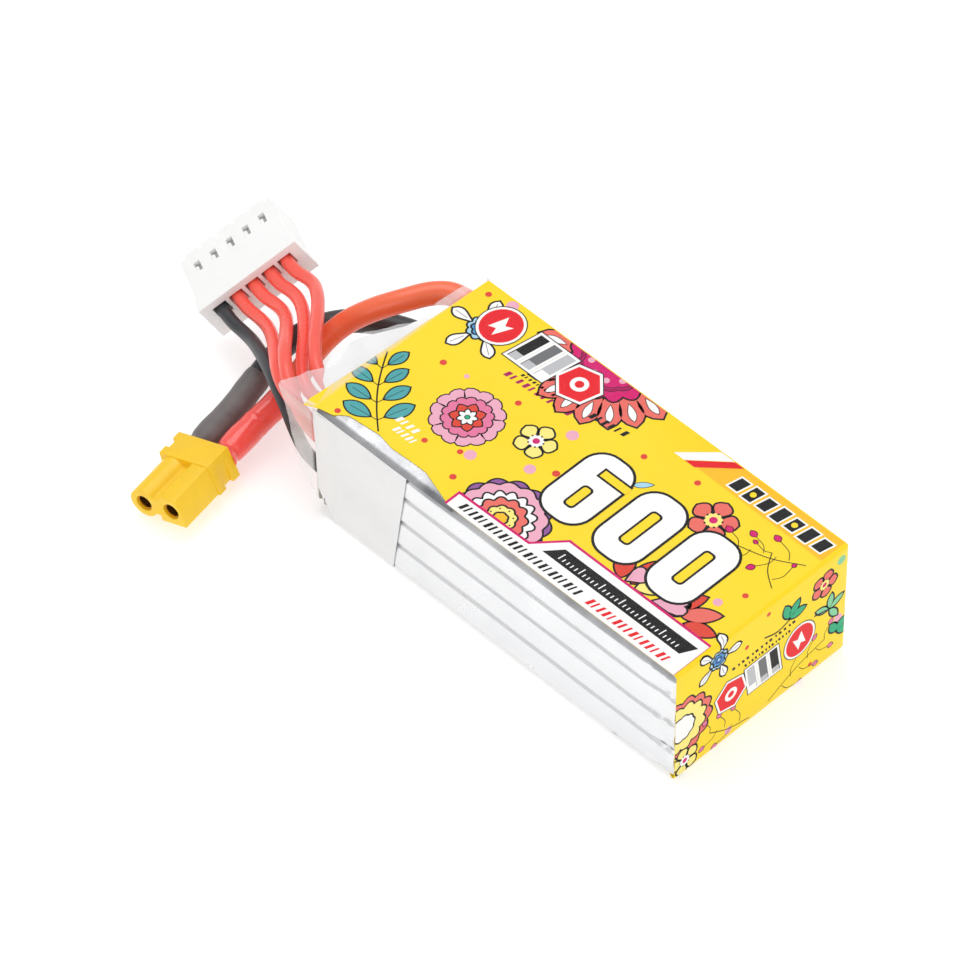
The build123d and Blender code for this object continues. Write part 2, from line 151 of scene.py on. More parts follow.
def open_mesh(obj, kind="FACE", test=None):
    """Leaves obj in edit mode with the elements that pass the test selected, or all of them."""
    take(obj)
    bpy.ops.object.mode_set(mode="EDIT")
    bpy.ops.mesh.select_mode(type=kind)
    bpy.ops.mesh.select_all(action="SELECT" if test is None else "DESELECT")
    if test is not None:
        shape = bmesh.from_edit_mesh(obj.data)
        chosen = [part for part in {"EDGE": shape.edges, "FACE": shape.faces}[kind] if test(part)]
        if not chosen:
            raise RuntimeError(f"nothing to select on {obj.name}")
        for part in chosen:
            part.select_set(True)
        shape.select_flush_mode()
        bmesh.update_edit_mesh(obj.data)


def close_mesh():
    bpy.ops.object.mode_set(mode="OBJECT")


def settle(obj):
    """Puts obj's place, turn and size into its mesh."""
    take(obj)
    bpy.ops.object.transform_apply(location=True, rotation=True, scale=True)


def new_box(name, centre, size):
    """A box to be shaped further."""
    bpy.ops.mesh.primitive_cube_add(size=1, location=centre)
    box = fresh(name)
    box.scale = size
    settle(box)
    return box


def cut_away(obj, test):
    """Deletes the faces that pass the test."""
    open_mesh(obj, "FACE", test)
    bpy.ops.mesh.delete(type="FACE")
    close_mesh()


def round_edges(obj, test, radius, segments=4):
    """Rounds the edges that pass the test."""
    open_mesh(obj, "EDGE", test)
    bpy.ops.mesh.bevel(offset=radius, segments=segments, affect="EDGES")
    close_mesh()


def middle(edge):
    return (edge.verts[0].co + edge.verts[1].co) / 2


def runs_lengthwise(edge):
    return abs((edge.verts[0].co - edge.verts[1].co).normalized().x) > 0.9


def modify(obj, kind, **values):
    """Adds a modifier and applies it."""
    take(obj)
    added = obj.modifiers.new(kind.title(), kind)
    for key, value in values.items():
        setattr(added, key, value)
    bpy.ops.object.modifier_apply(modifier=added.name)


def soften(obj, degrees=40):
    take(obj)
    bpy.ops.object.shade_smooth_by_angle(angle=math.radians(degrees))


def give_wall(obj, thickness, degrees=40):
    """Thickens a sheet inwards and smooths it."""
    modify(obj, "SOLIDIFY", thickness=thickness, offset=-1)
    soften(obj, degrees)


def slice_at(obj, places, normal):
    """Cuts the whole mesh at each place along the normal, and keeps both sides."""
    open_mesh(obj)
    for place in places:
        bpy.ops.mesh.select_all(action="SELECT")
        bpy.ops.mesh.bisect(plane_co=Vector(normal) * place, plane_no=normal)
    close_mesh()


def hand_over(obj, look, slot, *replaced):
    """Gives a finished piece its finish and its body. The slot is not used."""
    obj.data.materials.clear()
    obj.data.materials.append(finish_of(look))
    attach(obj, "root")
    if replaced:
        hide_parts(*replaced)


def rounded_copy(node, name, radius, steps, mitre):
    """A copy of a moulded CAD node, its loose triangles joined into flat faces and its sharp edges rounded."""
    obj = bpy.data.objects.new(name, nodes[node].data.copy())
    obj.data.name = name
    bpy.context.scene.collection.objects.link(obj)
    open_mesh(obj)
    bpy.ops.mesh.remove_doubles(threshold=0.000002)
    bpy.ops.mesh.dissolve_limited(angle_limit=math.radians(1.0))
    close_mesh()
    modify(
        obj, "BEVEL", width=radius, segments=steps, limit_method="ANGLE", angle_limit=math.radians(38),
        use_clamp_overlap=True, miter_outer=mitre,
    )
    soften(obj)
    return obj


# ---------------------------------------------------------------- finishes
def new_group(name, inputs, outputs):
    group = bpy.data.node_groups.new(name, "ShaderNodeTree")
    for label, kind, value in inputs:
        socket = group.interface.new_socket(name=label, in_out="INPUT", socket_type=f"NodeSocket{kind}")
        socket.default_value = value
    for label, kind in outputs:
        group.interface.new_socket(name=label, in_out="OUTPUT", socket_type=f"NodeSocket{kind}")
    return group, group.nodes.new("NodeGroupInput").outputs, group.nodes.new("NodeGroupOutput").inputs


def feed(tree, socket, value):
    """Sets a socket to a number, or links it to another socket."""
    if isinstance(value, (int, float)):
        socket.default_value = value
    else:
        tree.links.new(value, socket)


def noise_of(tree, vector, scale, detail, roughness, distortion=0.0):
    cloud = tree.nodes.new("ShaderNodeTexNoise")
    for label, value in (
        ("Vector", vector), ("Scale", scale), ("Detail", detail), ("Roughness", roughness), ("Distortion", distortion),
    ):
        feed(tree, cloud.inputs[label], value)
    return cloud.outputs["Fac"]


def calculate(tree, operation, first, second, clamp=False):
    step = tree.nodes.new("ShaderNodeMath")
    step.operation = operation
    step.use_clamp = clamp
    feed(tree, step.inputs[0], first)
    feed(tree, step.inputs[1], second)
    return step.outputs[0]


def weigh(tree, first, share, second, other_share):
    """The sum of two values, each times its share."""
    return calculate(
        tree, "ADD", calculate(tree, "MULTIPLY", first, share), calculate(tree, "MULTIPLY", second, other_share)
    )


def spread(tree, value, low, high, to_low=0.0, to_high=1.0):
    step = tree.nodes.new("ShaderNodeMapRange")
    for label, part in (
        ("Value", value), ("From Min", low), ("From Max", high), ("To Min", to_low), ("To Max", to_high),
    ):
        feed(tree, step.inputs[label], part)
    return step.outputs["Result"]


def make_skin_group():
    """Colour, roughness and height that drift over a surface, with fine grain on top."""
    group, given, made = new_group(
        "Surface Drift",
        [
            ("Light", "Color", (0.8, 0.8, 0.8, 1)), ("Dark", "Color", (0.6, 0.6, 0.6, 1)),
            ("Drift Scale", "Float", 200.0), ("Grain Scale", "Float", 4000.0),
            ("Smooth", "Float", 0.3), ("Rough", "Float", 0.5),
        ],
        [("Colour", "Color"), ("Roughness", "Float"), ("Height", "Float")],
    )
    place = group.nodes.new("ShaderNodeTexCoord").outputs["Object"]
    drift = noise_of(group, place, given["Drift Scale"], 4.0, 0.55, 0.4)
    grain = noise_of(group, place, given["Grain Scale"], 3.0, 0.6)
    mask = weigh(group, spread(group, drift, 0.3, 0.7), 0.7, grain, 0.3)
    mix = group.nodes.new("ShaderNodeMix")
    mix.data_type = "RGBA"
    for index, value in ((0, mask), (6, given["Light"]), (7, given["Dark"])):  # factor, first and second colour
        group.links.new(value, mix.inputs[index])
    group.links.new(mix.outputs[2], made["Colour"])
    group.links.new(spread(group, mask, 0.15, 0.85, given["Smooth"], given["Rough"]), made["Roughness"])
    group.links.new(weigh(group, drift, 0.6, grain, 0.4), made["Height"])


def make_crease_group():
    """Sharp folds and soft dents of crumpled film or foil."""
    group, given, made = new_group(
        "Film Creases",
        [("Scale", "Float", 120.0), ("Stretch", "Vector", (1.0, 1.0, 1.0)), ("Sharpness", "Float", 6.0)],
        [("Ridge", "Float"), ("Height", "Float")],
    )
    stretched = group.nodes.new("ShaderNodeVectorMath")
    stretched.operation = "MULTIPLY"
    group.links.new(group.nodes.new("ShaderNodeTexCoord").outputs["Object"], stretched.inputs[0])
    group.links.new(given["Stretch"], stretched.inputs[1])
    cloud = noise_of(group, stretched.outputs[0], given["Scale"], 3.0, 0.5, 1.2)
    from_middle = calculate(group, "ABSOLUTE", calculate(group, "SUBTRACT", cloud, 0.5), 0.0)
    steep = calculate(group, "MULTIPLY", from_middle, given["Sharpness"])
    ridge = calculate(group, "SUBTRACT", 1.0, steep, clamp=True)
    group.links.new(ridge, made["Ridge"])
    group.links.new(weigh(group, ridge, 0.5, cloud, 1.0), made["Height"])


def place_group(tree, name, **values):
    """Places a shared group in a material and sets its inputs."""
    node = tree.nodes.new("ShaderNodeGroup")
    node.name = name
    node.node_tree = bpy.data.node_groups[name]
    for label, value in values.items():
        node.inputs[label.replace("_", " ")].default_value = value
    return node


def place_relief(tree, height, strength, depth):
    """A bump of a height, its depth in millimetres."""
    relief = tree.nodes.new("ShaderNodeBump")
    relief.inputs["Strength"].default_value = strength
    relief.inputs["Distance"].default_value = depth * MM
    tree.links.new(height, relief.inputs["Height"])
    return relief


def finish(name, light, dark, smooth, rough, drift, grain, bump, depth, creases=None, own=None):
    """A material on the shared groups. Depths are in millimetres; own sockets are set on the shader itself."""
    material = bpy.data.materials.new(f"{name}_finish")
    material.use_nodes = True
    tree = material.node_tree
    shader = tree.nodes["Principled BSDF"]
    skin = place_group(
        tree, "Surface Drift", Light=(*light, 1), Dark=(*dark, 1), Drift_Scale=drift, Grain_Scale=grain,
        Smooth=smooth, Rough=rough,
    )
    relief = place_relief(tree, skin.outputs["Height"], bump, depth)
    tree.links.new(skin.outputs["Colour"], shader.inputs["Base Color"])
    tree.links.new(skin.outputs["Roughness"], shader.inputs["Roughness"])
    tree.links.new(relief.outputs["Normal"], shader.inputs["Normal"])
    if creases:
        scale, stretch, sharpness, strength, far = creases
        folds = place_group(tree, "Film Creases", Scale=scale, Stretch=stretch, Sharpness=sharpness)
        fold_relief = place_relief(tree, folds.outputs["Height"], strength, far)
        tree.links.new(fold_relief.outputs["Normal"], relief.inputs["Normal"])
    for socket, value in (own or {}).items():
        shader.inputs[socket].default_value = value
    return material


def finish_of(name):
    """The finish made under a name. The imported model's own plain materials have the bare names."""
    return bpy.data.materials[f"{name}_finish"]


def shade(colour, factor):
    return tuple(min(1.0, part * factor) for part in colour)


def ink(name, colour):
    """Printed ink under a gloss film."""
    finish(
        name, colour, shade(colour, 0.94), 0.28, 0.4, 90, 9000, 0.08, 0.01, (60, (1, 1.6, 1), 3, 0.12, 0.25),
        {"Specular IOR Level": 0.12, "Coat Weight": 0.06, "Coat Roughness": 0.12},
    )


def make_clear_film():
    """Clear film, drawn whiter where it is seen edge on and along its sharp folds: a painted reflection and painted
    glints.
    """
    tree = finish(
        "clear_shrink_film", (0.97, 0.97, 0.98), (0.92, 0.92, 0.935), 0.05, 0.14, 300, 2500, 0.05, 0.02,
        (85, (0.5, 1, 1), 8, 0.35, 0.35), {"Specular IOR Level": 0.7},
    ).node_tree
    edge_on = tree.nodes.new("ShaderNodeLayerWeight")
    edge_on.inputs["Blend"].default_value = 0.32
    split = tree.nodes.new("ShaderNodeSeparateXYZ")
    tree.links.new(tree.nodes.new("ShaderNodeTexCoord").outputs["Object"], split.inputs[0])
    at_mouth = spread(tree, split.outputs["X"], -0.0300, -0.0307)
    # the whiteness drawn in where the film is seen edge on and along its folds is a painted reflection and painted
    # glints
    painted_sheen = weigh(tree, edge_on.outputs["Facing"], 0.55, tree.nodes["Film Creases"].outputs["Ridge"], 0.16)
    amount = calculate(tree, "MULTIPLY", painted_sheen, spread(tree, at_mouth, 0, 1, 0.02, 0.8))
    cover = calculate(tree, "ADD", amount, spread(tree, at_mouth, 0, 1, 0.0, 0.07), clamp=True)
    tree.links.new(cover, tree.nodes["Principled BSDF"].inputs["Alpha"])


EVEN = (1, 1, 1)
TAPE_FOLDS = (130, (1, 1, 0.5), 5, 0.3, 0.2)
FOIL_FOLDS = (260, (0.4, 1, 1), 4, 0.3, 0.1)
TAB_FOLDS = (500, (1, 0.2, 1), 4, 0.3, 0.05)
RUBBER = {"Subsurface Weight": 0.12, "Subsurface Radius": (0.002, 0.0008, 0.0005), "Specular IOR Level": 0.6}


def metal(amount=1.0):
    return {"Metallic": amount}


def moulded(glow, *radius):
    return {"Subsurface Weight": glow, "Subsurface Radius": radius}


def make_finishes(scene):
    make_skin_group()
    make_crease_group()
    wires, plug = scene.pack_wires, scene.pack_plugs
    for row in (
        # name, light, dark (or its share of the light), smooth, rough, drift and grain scales, bump and its depth,
        # creases (scale, stretch, sharpness, strength, depth), the shader's own sockets
        ("red_silicone", wires.red, 0.9, 0.24, 0.36, 160, 3500, 0.12, 0.02, None, RUBBER),
        ("red_lead_silicone", wires.lead, 0.9, 0.24, 0.36, 160, 3500, 0.12, 0.02, None, RUBBER),
        ("black_silicone", wires.black, 2.2, 0.34, 0.5, 160, 3500, 0.15, 0.02),
        (
            "red_shrink", (1.0, 0.11, 0.09), (0.95, 0.08, 0.065), 0.16, 0.28, 240, 3000, 0.2, 0.03,
            (240, EVEN, 4, 0.35, 0.12), {"Coat Weight": 0.4, "Coat Roughness": 0.1},
        ),
        (
            "black_shrink", (0.12, 0.107, 0.106), (0.19, 0.172, 0.17), 0.46, 0.66, 380, 5200, 0.3, 0.03,
            (260, EVEN, 4, 0.3, 0.1),
        ),
        ("yellow_nylon", plug.yellow, 0.9, 0.3, 0.42, 260, 5200, 0.22, 0.03, None, moulded(0.08, 0.001, 0.0006, 0.0002)),
        ("white_nylon", plug.white, 0.95, 0.34, 0.46, 260, 5200, 0.2, 0.03, None, moulded(0.15, 0.0012, 0.0012, 0.001)),
        ("gold_brass", (0.93, 0.68, 0.27), (0.72, 0.48, 0.16), 0.2, 0.38, 700, 8000, 0.25, 0.02, None, metal()),
        ("tinned_contact", (0.62, 0.62, 0.62), (0.4, 0.4, 0.41), 0.2, 0.4, 900, 9000, 0.3, 0.02, None, metal()),
        (
            "pouch_foil", scene.pack_wrap.foil, 0.93, 0.26, 0.4, 120, 3800, 0.2, 0.03,
            (190, (0.28, 1, 1), 5, 0.5, 0.16), metal(0.55),
        ),
        # the shoulder foil is a darker grey copy of the pouch foil: its grey is painted shade on the top pouch's
        # rounded shoulder under the label's edge
        (
            "shoulder_foil", (0.78, 0.78, 0.8), (0.3, 0.31, 0.33), 0.24, 0.36, 130, 5200, 0.25, 0.03, FOIL_FOLDS,
            metal(0.85),
        ),
        ("white_paper", (0.97, 0.97, 0.97), (0.91, 0.91, 0.915), 0.5, 0.66, 200, 6500, 0.25, 0.03, TAPE_FOLDS),
        # the edge foil's dark grey and near-black patches are painted shade and painted reflections on the bare top
        # edge
        (
            "edge_foil", (0.62, 0.62, 0.64), (0.1, 0.105, 0.115), 0.24, 0.36, 140, 5200, 0.25, 0.03, FOIL_FOLDS,
            metal(0.8),
        ),
        # the paper tape is a greyer copy of the white paper: painted shade on the band's sides
        ("paper_tape", (0.86, 0.855, 0.855), (0.8, 0.795, 0.795), 0.5, 0.66, 200, 6500, 0.25, 0.03, TAPE_FOLDS),
        ("aluminium_tab", (0.8, 0.8, 0.81), (0.62, 0.62, 0.64), 0.24, 0.42, 500, 7000, 0.3, 0.02, TAB_FOLDS, metal()),
        ("nickel_tab", (0.68, 0.65, 0.6), (0.5, 0.47, 0.43), 0.24, 0.44, 500, 7000, 0.3, 0.02, TAB_FOLDS, metal()),
        ("foam_tape", (0.82, 0.82, 0.8), (0.7, 0.7, 0.68), 0.6, 0.8, 400, 5000, 0.5, 0.06),
        (
            "board", (0.03, 0.16, 0.07), (0.02, 0.1, 0.045), 0.22, 0.4, 500, 6000, 0.3, 0.03,
            (900, (1, 1, 0.3), 7, 0.4, 0.03),
        ),
        ("solder", (0.75, 0.75, 0.76), (0.55, 0.55, 0.57), 0.16, 0.34, 900, 7000, 0.35, 0.04, None, metal()),
        ("card", (0.8, 0.79, 0.75), (0.68, 0.67, 0.62), 0.5, 0.7, 300, 6000, 0.3, 0.03),
        (
            "polyimide", (0.85, 0.33, 0.03), (0.7, 0.24, 0.02), 0.14, 0.28, 300, 5000, 0.2, 0.03,
            (300, EVEN, 6, 0.3, 0.08),
        ),
    ):
        name, light, dark, *rest = row
        finish(name, light, shade(light, dark) if isinstance(dark, float) else dark, *rest)
    ink("label_ground", scene.pack_label.ground)
    make_clear_film()


# ---------------------------------------------------------------- the wires' routes
# The points of each route, in metres, from the pack or the balance plug outwards.
LEAD_ROUTES = {
    "positive": (
        (-0.0303, 0.0126, 0.0154), (-0.0333, 0.0126, 0.0154), (-0.0358, 0.0108, 0.0152), (-0.0379, 0.0075, 0.0146),
        (-0.0406, 0.0046, 0.013), (-0.0428, 0.002, 0.0108), (-0.0438, -0.0012, 0.0084), (-0.0436, -0.0046, 0.0062),
        (-0.0432, -0.008, 0.0046), (-0.04318, -0.01253, 0.00377), (-0.0425, -0.01627, 0.00377),
    ),
    "negative": (
        (-0.0303, 0.0126, 0.005), (-0.0336, 0.0126, 0.005), (-0.0378, 0.0112, 0.0056), (-0.0422, 0.0088, 0.0063),
        (-0.0464, 0.005, 0.0066), (-0.0486, 0.0, 0.0061), (-0.0486, -0.0048, 0.005), (-0.0479, -0.009, 0.0036),
        (-0.04718, -0.01325, 0.00271), (-0.0465, -0.01699, 0.00271),
    ),
}
BALANCE_ROUTES = (
    (
        (-0.05954, -0.00262, 0.00531), (-0.05705, -0.00387, 0.00558), (-0.0522, -0.0046, 0.0063),
        (-0.0486, -0.0066, 0.0086), (-0.0448, -0.0088, 0.0106), (-0.0412, -0.0109, 0.0118),
        (-0.0379, -0.0124, 0.0116), (-0.0353, -0.0133, 0.0096), (-0.0339, -0.0131, 0.0069),
        (-0.0323, -0.0126, 0.0052), (-0.0303, -0.0126, 0.0052),
    ),
    (
        (-0.05869, -0.00066, 0.0066), (-0.0562, -0.0019, 0.00687), (-0.0516, -0.0026, 0.008),
        (-0.0478, -0.0049, 0.0102), (-0.0442, -0.0079, 0.0124), (-0.0408, -0.0108, 0.0139),
        (-0.0379, -0.0123, 0.0138), (-0.0356, -0.012, 0.0121), (-0.0339, -0.0111, 0.0094),
        (-0.0323, -0.0104, 0.0076), (-0.0303, -0.0104, 0.0076),
    ),
    (
        (-0.05785, 0.00131, 0.00789), (-0.05536, 7e-05, 0.00816), (-0.051, -0.0004, 0.0094),
        (-0.0476, -0.0026, 0.0116), (-0.0442, -0.006, 0.0141), (-0.0408, -0.0096, 0.0163),
        (-0.0376, -0.0122, 0.0167), (-0.0352, -0.0133, 0.0153), (-0.034, -0.0132, 0.0125),
        (-0.0323, -0.0126, 0.0104), (-0.0303, -0.0126, 0.0104),
    ),
    (
        (-0.05701, 0.00328, 0.00918), (-0.05451, 0.00203, 0.00945), (-0.0504, 0.0016, 0.0108),
        (-0.0466, -0.0007, 0.0124), (-0.043, -0.004, 0.0136), (-0.0396, -0.0078, 0.0144),
        (-0.0368, -0.0104, 0.0148), (-0.0344, -0.0108, 0.014), (-0.0323, -0.0092, 0.0128),
        (-0.0303, -0.0092, 0.0128),
    ),
    (
        (-0.05616, 0.00525, 0.01047), (-0.05367, 0.004, 0.01074), (-0.0496, 0.0038, 0.012),
        (-0.046, 0.0012, 0.014), (-0.0424, -0.0024, 0.0158), (-0.0388, -0.0064, 0.0169),
        (-0.0358, -0.0091, 0.0172), (-0.0338, -0.0096, 0.0164), (-0.0323, -0.0094, 0.0154),
        (-0.0303, -0.0094, 0.0154),
    ),
)


def lay_cord(name, route, diameter):
    """One smooth curve through the air along a route."""
    line = bpy.data.curves.new(name, "CURVE")
    line.dimensions = "3D"
    spline = line.splines.new("NURBS")
    spline.points.add(len(route) - 1)
    for point, place in zip(spline.points, route):
        point.co = (*place, 1)
    spline.order_u = 3
    spline.use_endpoint_u = True
    line.resolution_u = 10
    line.bevel_depth = diameter / 2
    line.bevel_resolution = 6
    line.use_fill_caps = True
    cord = bpy.data.objects.new(name, line)
    bpy.context.scene.collection.objects.link(cord)
    return cord


def centre_line(cord):
    """Points along a cord's own spline, read from the curve without its thickness."""
    bare = cord.copy()
    bare.data = cord.data.copy()
    bare.data.bevel_depth = 0
    bpy.context.scene.collection.objects.link(bare)
    graph = bpy.context.evaluated_depsgraph_get()
    mesh = bpy.data.meshes.new_from_object(bare.evaluated_get(graph))
    points = [vertex.co.copy() for vertex in mesh.vertices]
    bpy.data.meshes.remove(mesh)
    bpy.data.objects.remove(bare)
    return points


def lead_name(pole):
    return f"lead_{pole}"


def wire_name(way):
    return f"balance_wire_curve_{way + 1}"


class PACK_OT_cords(bpy.types.Operator):
    """Lays the main leads and the balance wires"""

    bl_idname = "pack.cords"
    bl_label = "Leads and wires"

    def execute(self, context):
        settings = context.scene.pack_wires
        looks = {"positive": ("red_lead_silicone", "red_silicone"), "negative": ("black_silicone",) * 2}
        for pole, route in LEAD_ROUTES.items():
            hand_over(lay_cord(lead_name(pole), route, settings.lead_diameter), *looks[pole], f"main_lead_{pole}")
        for way, route in enumerate(BALANCE_ROUTES):
            wire = lay_cord(wire_name(way), route, settings.wire_diameter)
            look = "red_silicone" if way else "black_silicone"
            hand_over(wire, look, look, f"balance_wire_{way + 1}")
        return {"FINISHED"}


# ---------------------------------------------------------------- sleeves on the leads
IN_PLUG = 2.75 * MM  # how far each sleeve goes on into the plug, past the end of its lead


def distances(points):
    total = [0.0]
    for before, here in zip(points, points[1:]):
        total.append(total[-1] + (here - before).length)
    return total


def place_on(points, total, want):
    """The point and direction at a distance along a line of points."""
    for index in range(len(points) - 1):
        if total[index + 1] >= want or index == len(points) - 2:
            span = total[index + 1] - total[index]
            share = (want - total[index]) / span if span else 0.0
            ahead = points[index + 1] - points[index]
            return points[index] + ahead * share, ahead.normalized()


def tube_along(name, points, start, end, sides, rings, radius_at):
    """A tube round part of a line: a cylinder is cut into rings, and each ring is set on the line."""
    bpy.ops.mesh.primitive_cylinder_add(vertices=sides, radius=1, depth=1, end_fill_type="NOTHING")
    tube = fresh(name)
    slice_at(tube, [index / rings - 0.5 for index in range(1, rings)], (0, 0, 1))
    total = distances(points)
    for vertex in tube.data.vertices:
        share = vertex.co.z + 0.5
        spot, ahead = place_on(points, total, start + (end - start) * share)
        side = ahead.cross(Vector((0, 0, 1))).normalized()
        over = side.cross(ahead).normalized()
        angle = math.atan2(vertex.co.y, vertex.co.x)
        radius = radius_at(share, angle)
        vertex.co = spot + (side * math.cos(angle) + over * math.sin(angle)) * radius
    return tube


class PACK_OT_heat_shrinks(bpy.types.Operator):
    """Shrinks a sleeve over each solder cup behind the power plug"""

    bl_idname = "pack.heat_shrinks"
    bl_label = "Heat-shrink sleeves"

    def execute(self, context):
        settings = context.scene.pack_wires
        outer = settings.sleeve_diameter / 2
        for pole, look, reach, ridge_height in (
            ("positive", "red_shrink", 13.0 * MM, 0.07 * MM), ("negative", "black_shrink", 13.2 * MM, 0.0),
        ):
            points = centre_line(bpy.data.objects[lead_name(pole)])
            ahead = (points[-1] - points[-2]).normalized()
            points.append(points[-1] + ahead * IN_PLUG)
            length = distances(points)[-1]

            def radius_at(share, angle, ridge_height=ridge_height):
                def bump(height, centre, width):
                    return height * math.exp(-(((share - centre) / width) ** 2))

                swell, neck, lip = bump(0.13 * MM, 0.72, 0.16), bump(-0.16 * MM, 0.93, 0.035), bump(-0.14 * MM, 0, 0.03)
                flare = 0.22 * MM * max(0.0, share - 0.95) / 0.05
                ripple = 0.05 * MM * noise.noise(Vector((math.cos(angle) * 1.2, math.sin(angle) * 1.2, share * 9)))
                return outer + swell + neck + lip + flare + ripple + bump(ridge_height, 0.5, 0.02)

            sleeve = tube_along(f"heat_shrink_tube_{pole}", points, length - reach, length, 40, 56, radius_at)
            open_mesh(sleeve)
            bpy.ops.mesh.normals_make_consistent(inside=False)
            close_mesh()
            give_wall(sleeve, 0.18 * MM, 50)
            hand_over(sleeve, look, look, f"heat_shrink_{pole}")
        return {"FINISHED"}


# ---------------------------------------------------------------- plugs
BALANCE_CENTRE = Vector((-0.0609, 0.0033, 0.00685))
BALANCE_EXIT = Vector((0.890, -0.445, 0.097))  # the way the wires leave the plug
BALANCE_NORMAL = Vector((-0.306, -0.427, 0.851))
BALANCE_ROW = Vector((0.337, 0.787, 0.516))
BALANCE_PITCH = 0.0025


class PACK_OT_power_plug(bpy.types.Operator):
    """Rounds the power plug's moulded edges"""

    bl_idname = "pack.power_plug"
    bl_label = "Power plug"

    def execute(self, context):
        settings = context.scene.pack_plugs
        housing = rounded_copy(
            "power_plug_housing", "power_plug_shell", settings.edge_radius, settings.edge_steps, "MITER_ARC"
        )
        hand_over(housing, "yellow_nylon", "yellow_nylon", "power_plug_housing")
        return {"FINISHED"}


class PACK_OT_balance_plug(bpy.types.Operator):
    """Rounds the balance plug's moulded edges, and sets a small tongue in each window, which leaves it an L"""

    bl_idname = "pack.balance_plug"
    bl_label = "Balance plug"

    def execute(self, context):
        settings = context.scene.pack_plugs
        housing = rounded_copy(
            "balance_plug_housing", "balance_plug_shell", settings.edge_radius * 0.6, settings.edge_steps, "MITER_SHARP"
        )
        hand_over(housing, "white_nylon", "white_nylon", "balance_plug_housing")

        # one tongue is made in the plug's own frame and copied
        place = Matrix((BALANCE_ROW, -BALANCE_EXIT, BALANCE_NORMAL)).transposed().to_4x4()
        place.translation = BALANCE_CENTRE
        tongue = new_box("window_tongue_1", (-0.00023, 0.00152, 0.0024), (0.00046, 0.00104, 0.0008))
        round_edges(tongue, lambda edge: middle(edge).x > -0.0001 or middle(edge).z > 0.00275, 0.00006, 2)
        for way in range(5):
            piece = tongue
            if way < 4:
                piece = tongue.copy()
                piece.data = tongue.data.copy()
                context.scene.collection.objects.link(piece)
            piece.name = f"window_tongue_{5 - way}"
            piece.data.transform(Matrix.Translation(BALANCE_ROW * ((2 - way) * BALANCE_PITCH)) @ place)
            soften(piece, 35)
            hand_over(piece, "white_nylon", "white_nylon")
        return {"FINISHED"}


class PACK_OT_inner_parts(bpy.types.Operator):
    """Finishes the tabs, the board, its solder and the plugs' contacts"""

    bl_idname = "pack.inner_parts"
    bl_label = "Inner parts"

    def execute(self, context):
        finishes = {part["node"]: part["material_slot"] for part in frame["record"]["subparts"]}
        for name, obj in nodes.items():
            if not obj.hide_render:
                obj.data.materials.clear()
                obj.data.materials.append(finish_of(finishes[name]))
        return {"FINISHED"}


# ---------------------------------------------------------------- pouches and paper
class PACK_OT_pouches(bpy.types.Operator):
    """Models the four foil pouches with their folded side seams"""

    bl_idname = "pack.pouches"
    bl_label = "Pouches"

    def execute(self, context):
        for index in range(4):
            node = f"cell_{index + 1}"
            low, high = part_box(node)
            size = high - low
            pouch = new_box(f"pouch_{index + 1}", (high + low) / 2, size)
            top_pouch = index == 3
            seam = (3.2 if top_pouch else 4.05) * MM
            fold, height = seam / MM, size.z / MM
            levels = [0.1, 0.25, 0.5, 1.2, 2.2, 3.0, fold - 0.12, fold, fold + 0.03, (fold + height) / 2, height - 0.08]
            slice_at(pouch, [low.z + level * MM for level in levels], (0, 0, 1))
            steps = [low.x + 1.0 * MM * step for step in range(1, 53)]
            steps += [steps[-1] + 0.22 * MM * step for step in range(1, 27)]
            slice_at(pouch, [step for step in steps if step < high.x - 0.0001], (1, 0, 0))
            half = size.y / 2
            for vertex in pouch.data.vertices:
                here = vertex.co
                if abs(here.y) < half - 0.00001:
                    continue
                outward = 1 if here.y > 0 else -1
                rise = (here.z - low.z) / MM
                inward = 0.32 * max(0.0, 1 - rise / 0.5) ** 2
                if rise > fold + 0.01:
                    above = (rise - fold) / (height - fold)
                    inward += 0.3 + (0.95 * above ** 2 if top_pouch else 0.2 * above)
                elif rise > fold - 0.13:
                    inward += 0.06
                far_end = max(0.0, min(1.0, (here.x - high.x + 0.0065) / 0.0065)) ** 1.3
                seed = Vector((here.x * 120, index * 7.3 + outward, here.z * 260))
                crumple = Vector((here.x * 900 - here.z * 420, index * 3.7, here.z * 520))
                inward += 0.09 * (1 + noise.noise(seed)) + far_end * (0.25 + 0.6 * noise.noise(crumple))
                here.y -= outward * inward * MM
                if 0.2 < rise < height - 0.2:
                    here.z += noise.noise(seed * 0.5 + Vector((5.1, 0, 0))) * 0.1 * MM
            soften(pouch)
            hand_over(pouch, "pouch_foil", "pouch_foil", node)
            # the top pouch's shoulder above its seam takes the darker foil, painted shade under the label's edge
            if top_pouch:
                pouch.data.materials.append(finish_of("shoulder_foil"))
                for face in pouch.data.polygons:
                    if face.center.z > low.z + seam + 0.00003:
                        face.material_index = 1

        # the bare top edge beside the label's notch, in a dark foil whose grey and near-black patches are painted shade
        # and painted reflections
        outline = [(-0.6, -13.8), (0.4, -14.8), (23.0, -14.62), (22.5, -13.6), (12.0, -11.6), (2.6, -12.8)]
        strip = filled_outline("top_edge_foil", outline)
        slice_at(strip, [4 + 2 * step for step in range(9)], (1, 0, 0))
        slice_at(strip, [-14.4, -13.6], (0, 1, 0))
        for vertex in strip.data.vertices:
            u, v = vertex.co.x, vertex.co.y
            sag = 1.1 * max(0.0, -14.0 - v) ** 1.6
            vertex.co = Vector((-30 + u, v, 18.775 - sag)) * MM
        give_wall(strip, 0.03 * MM)
        hand_over(strip, "edge_foil", "pouch_foil")
        return {"FINISHED"}


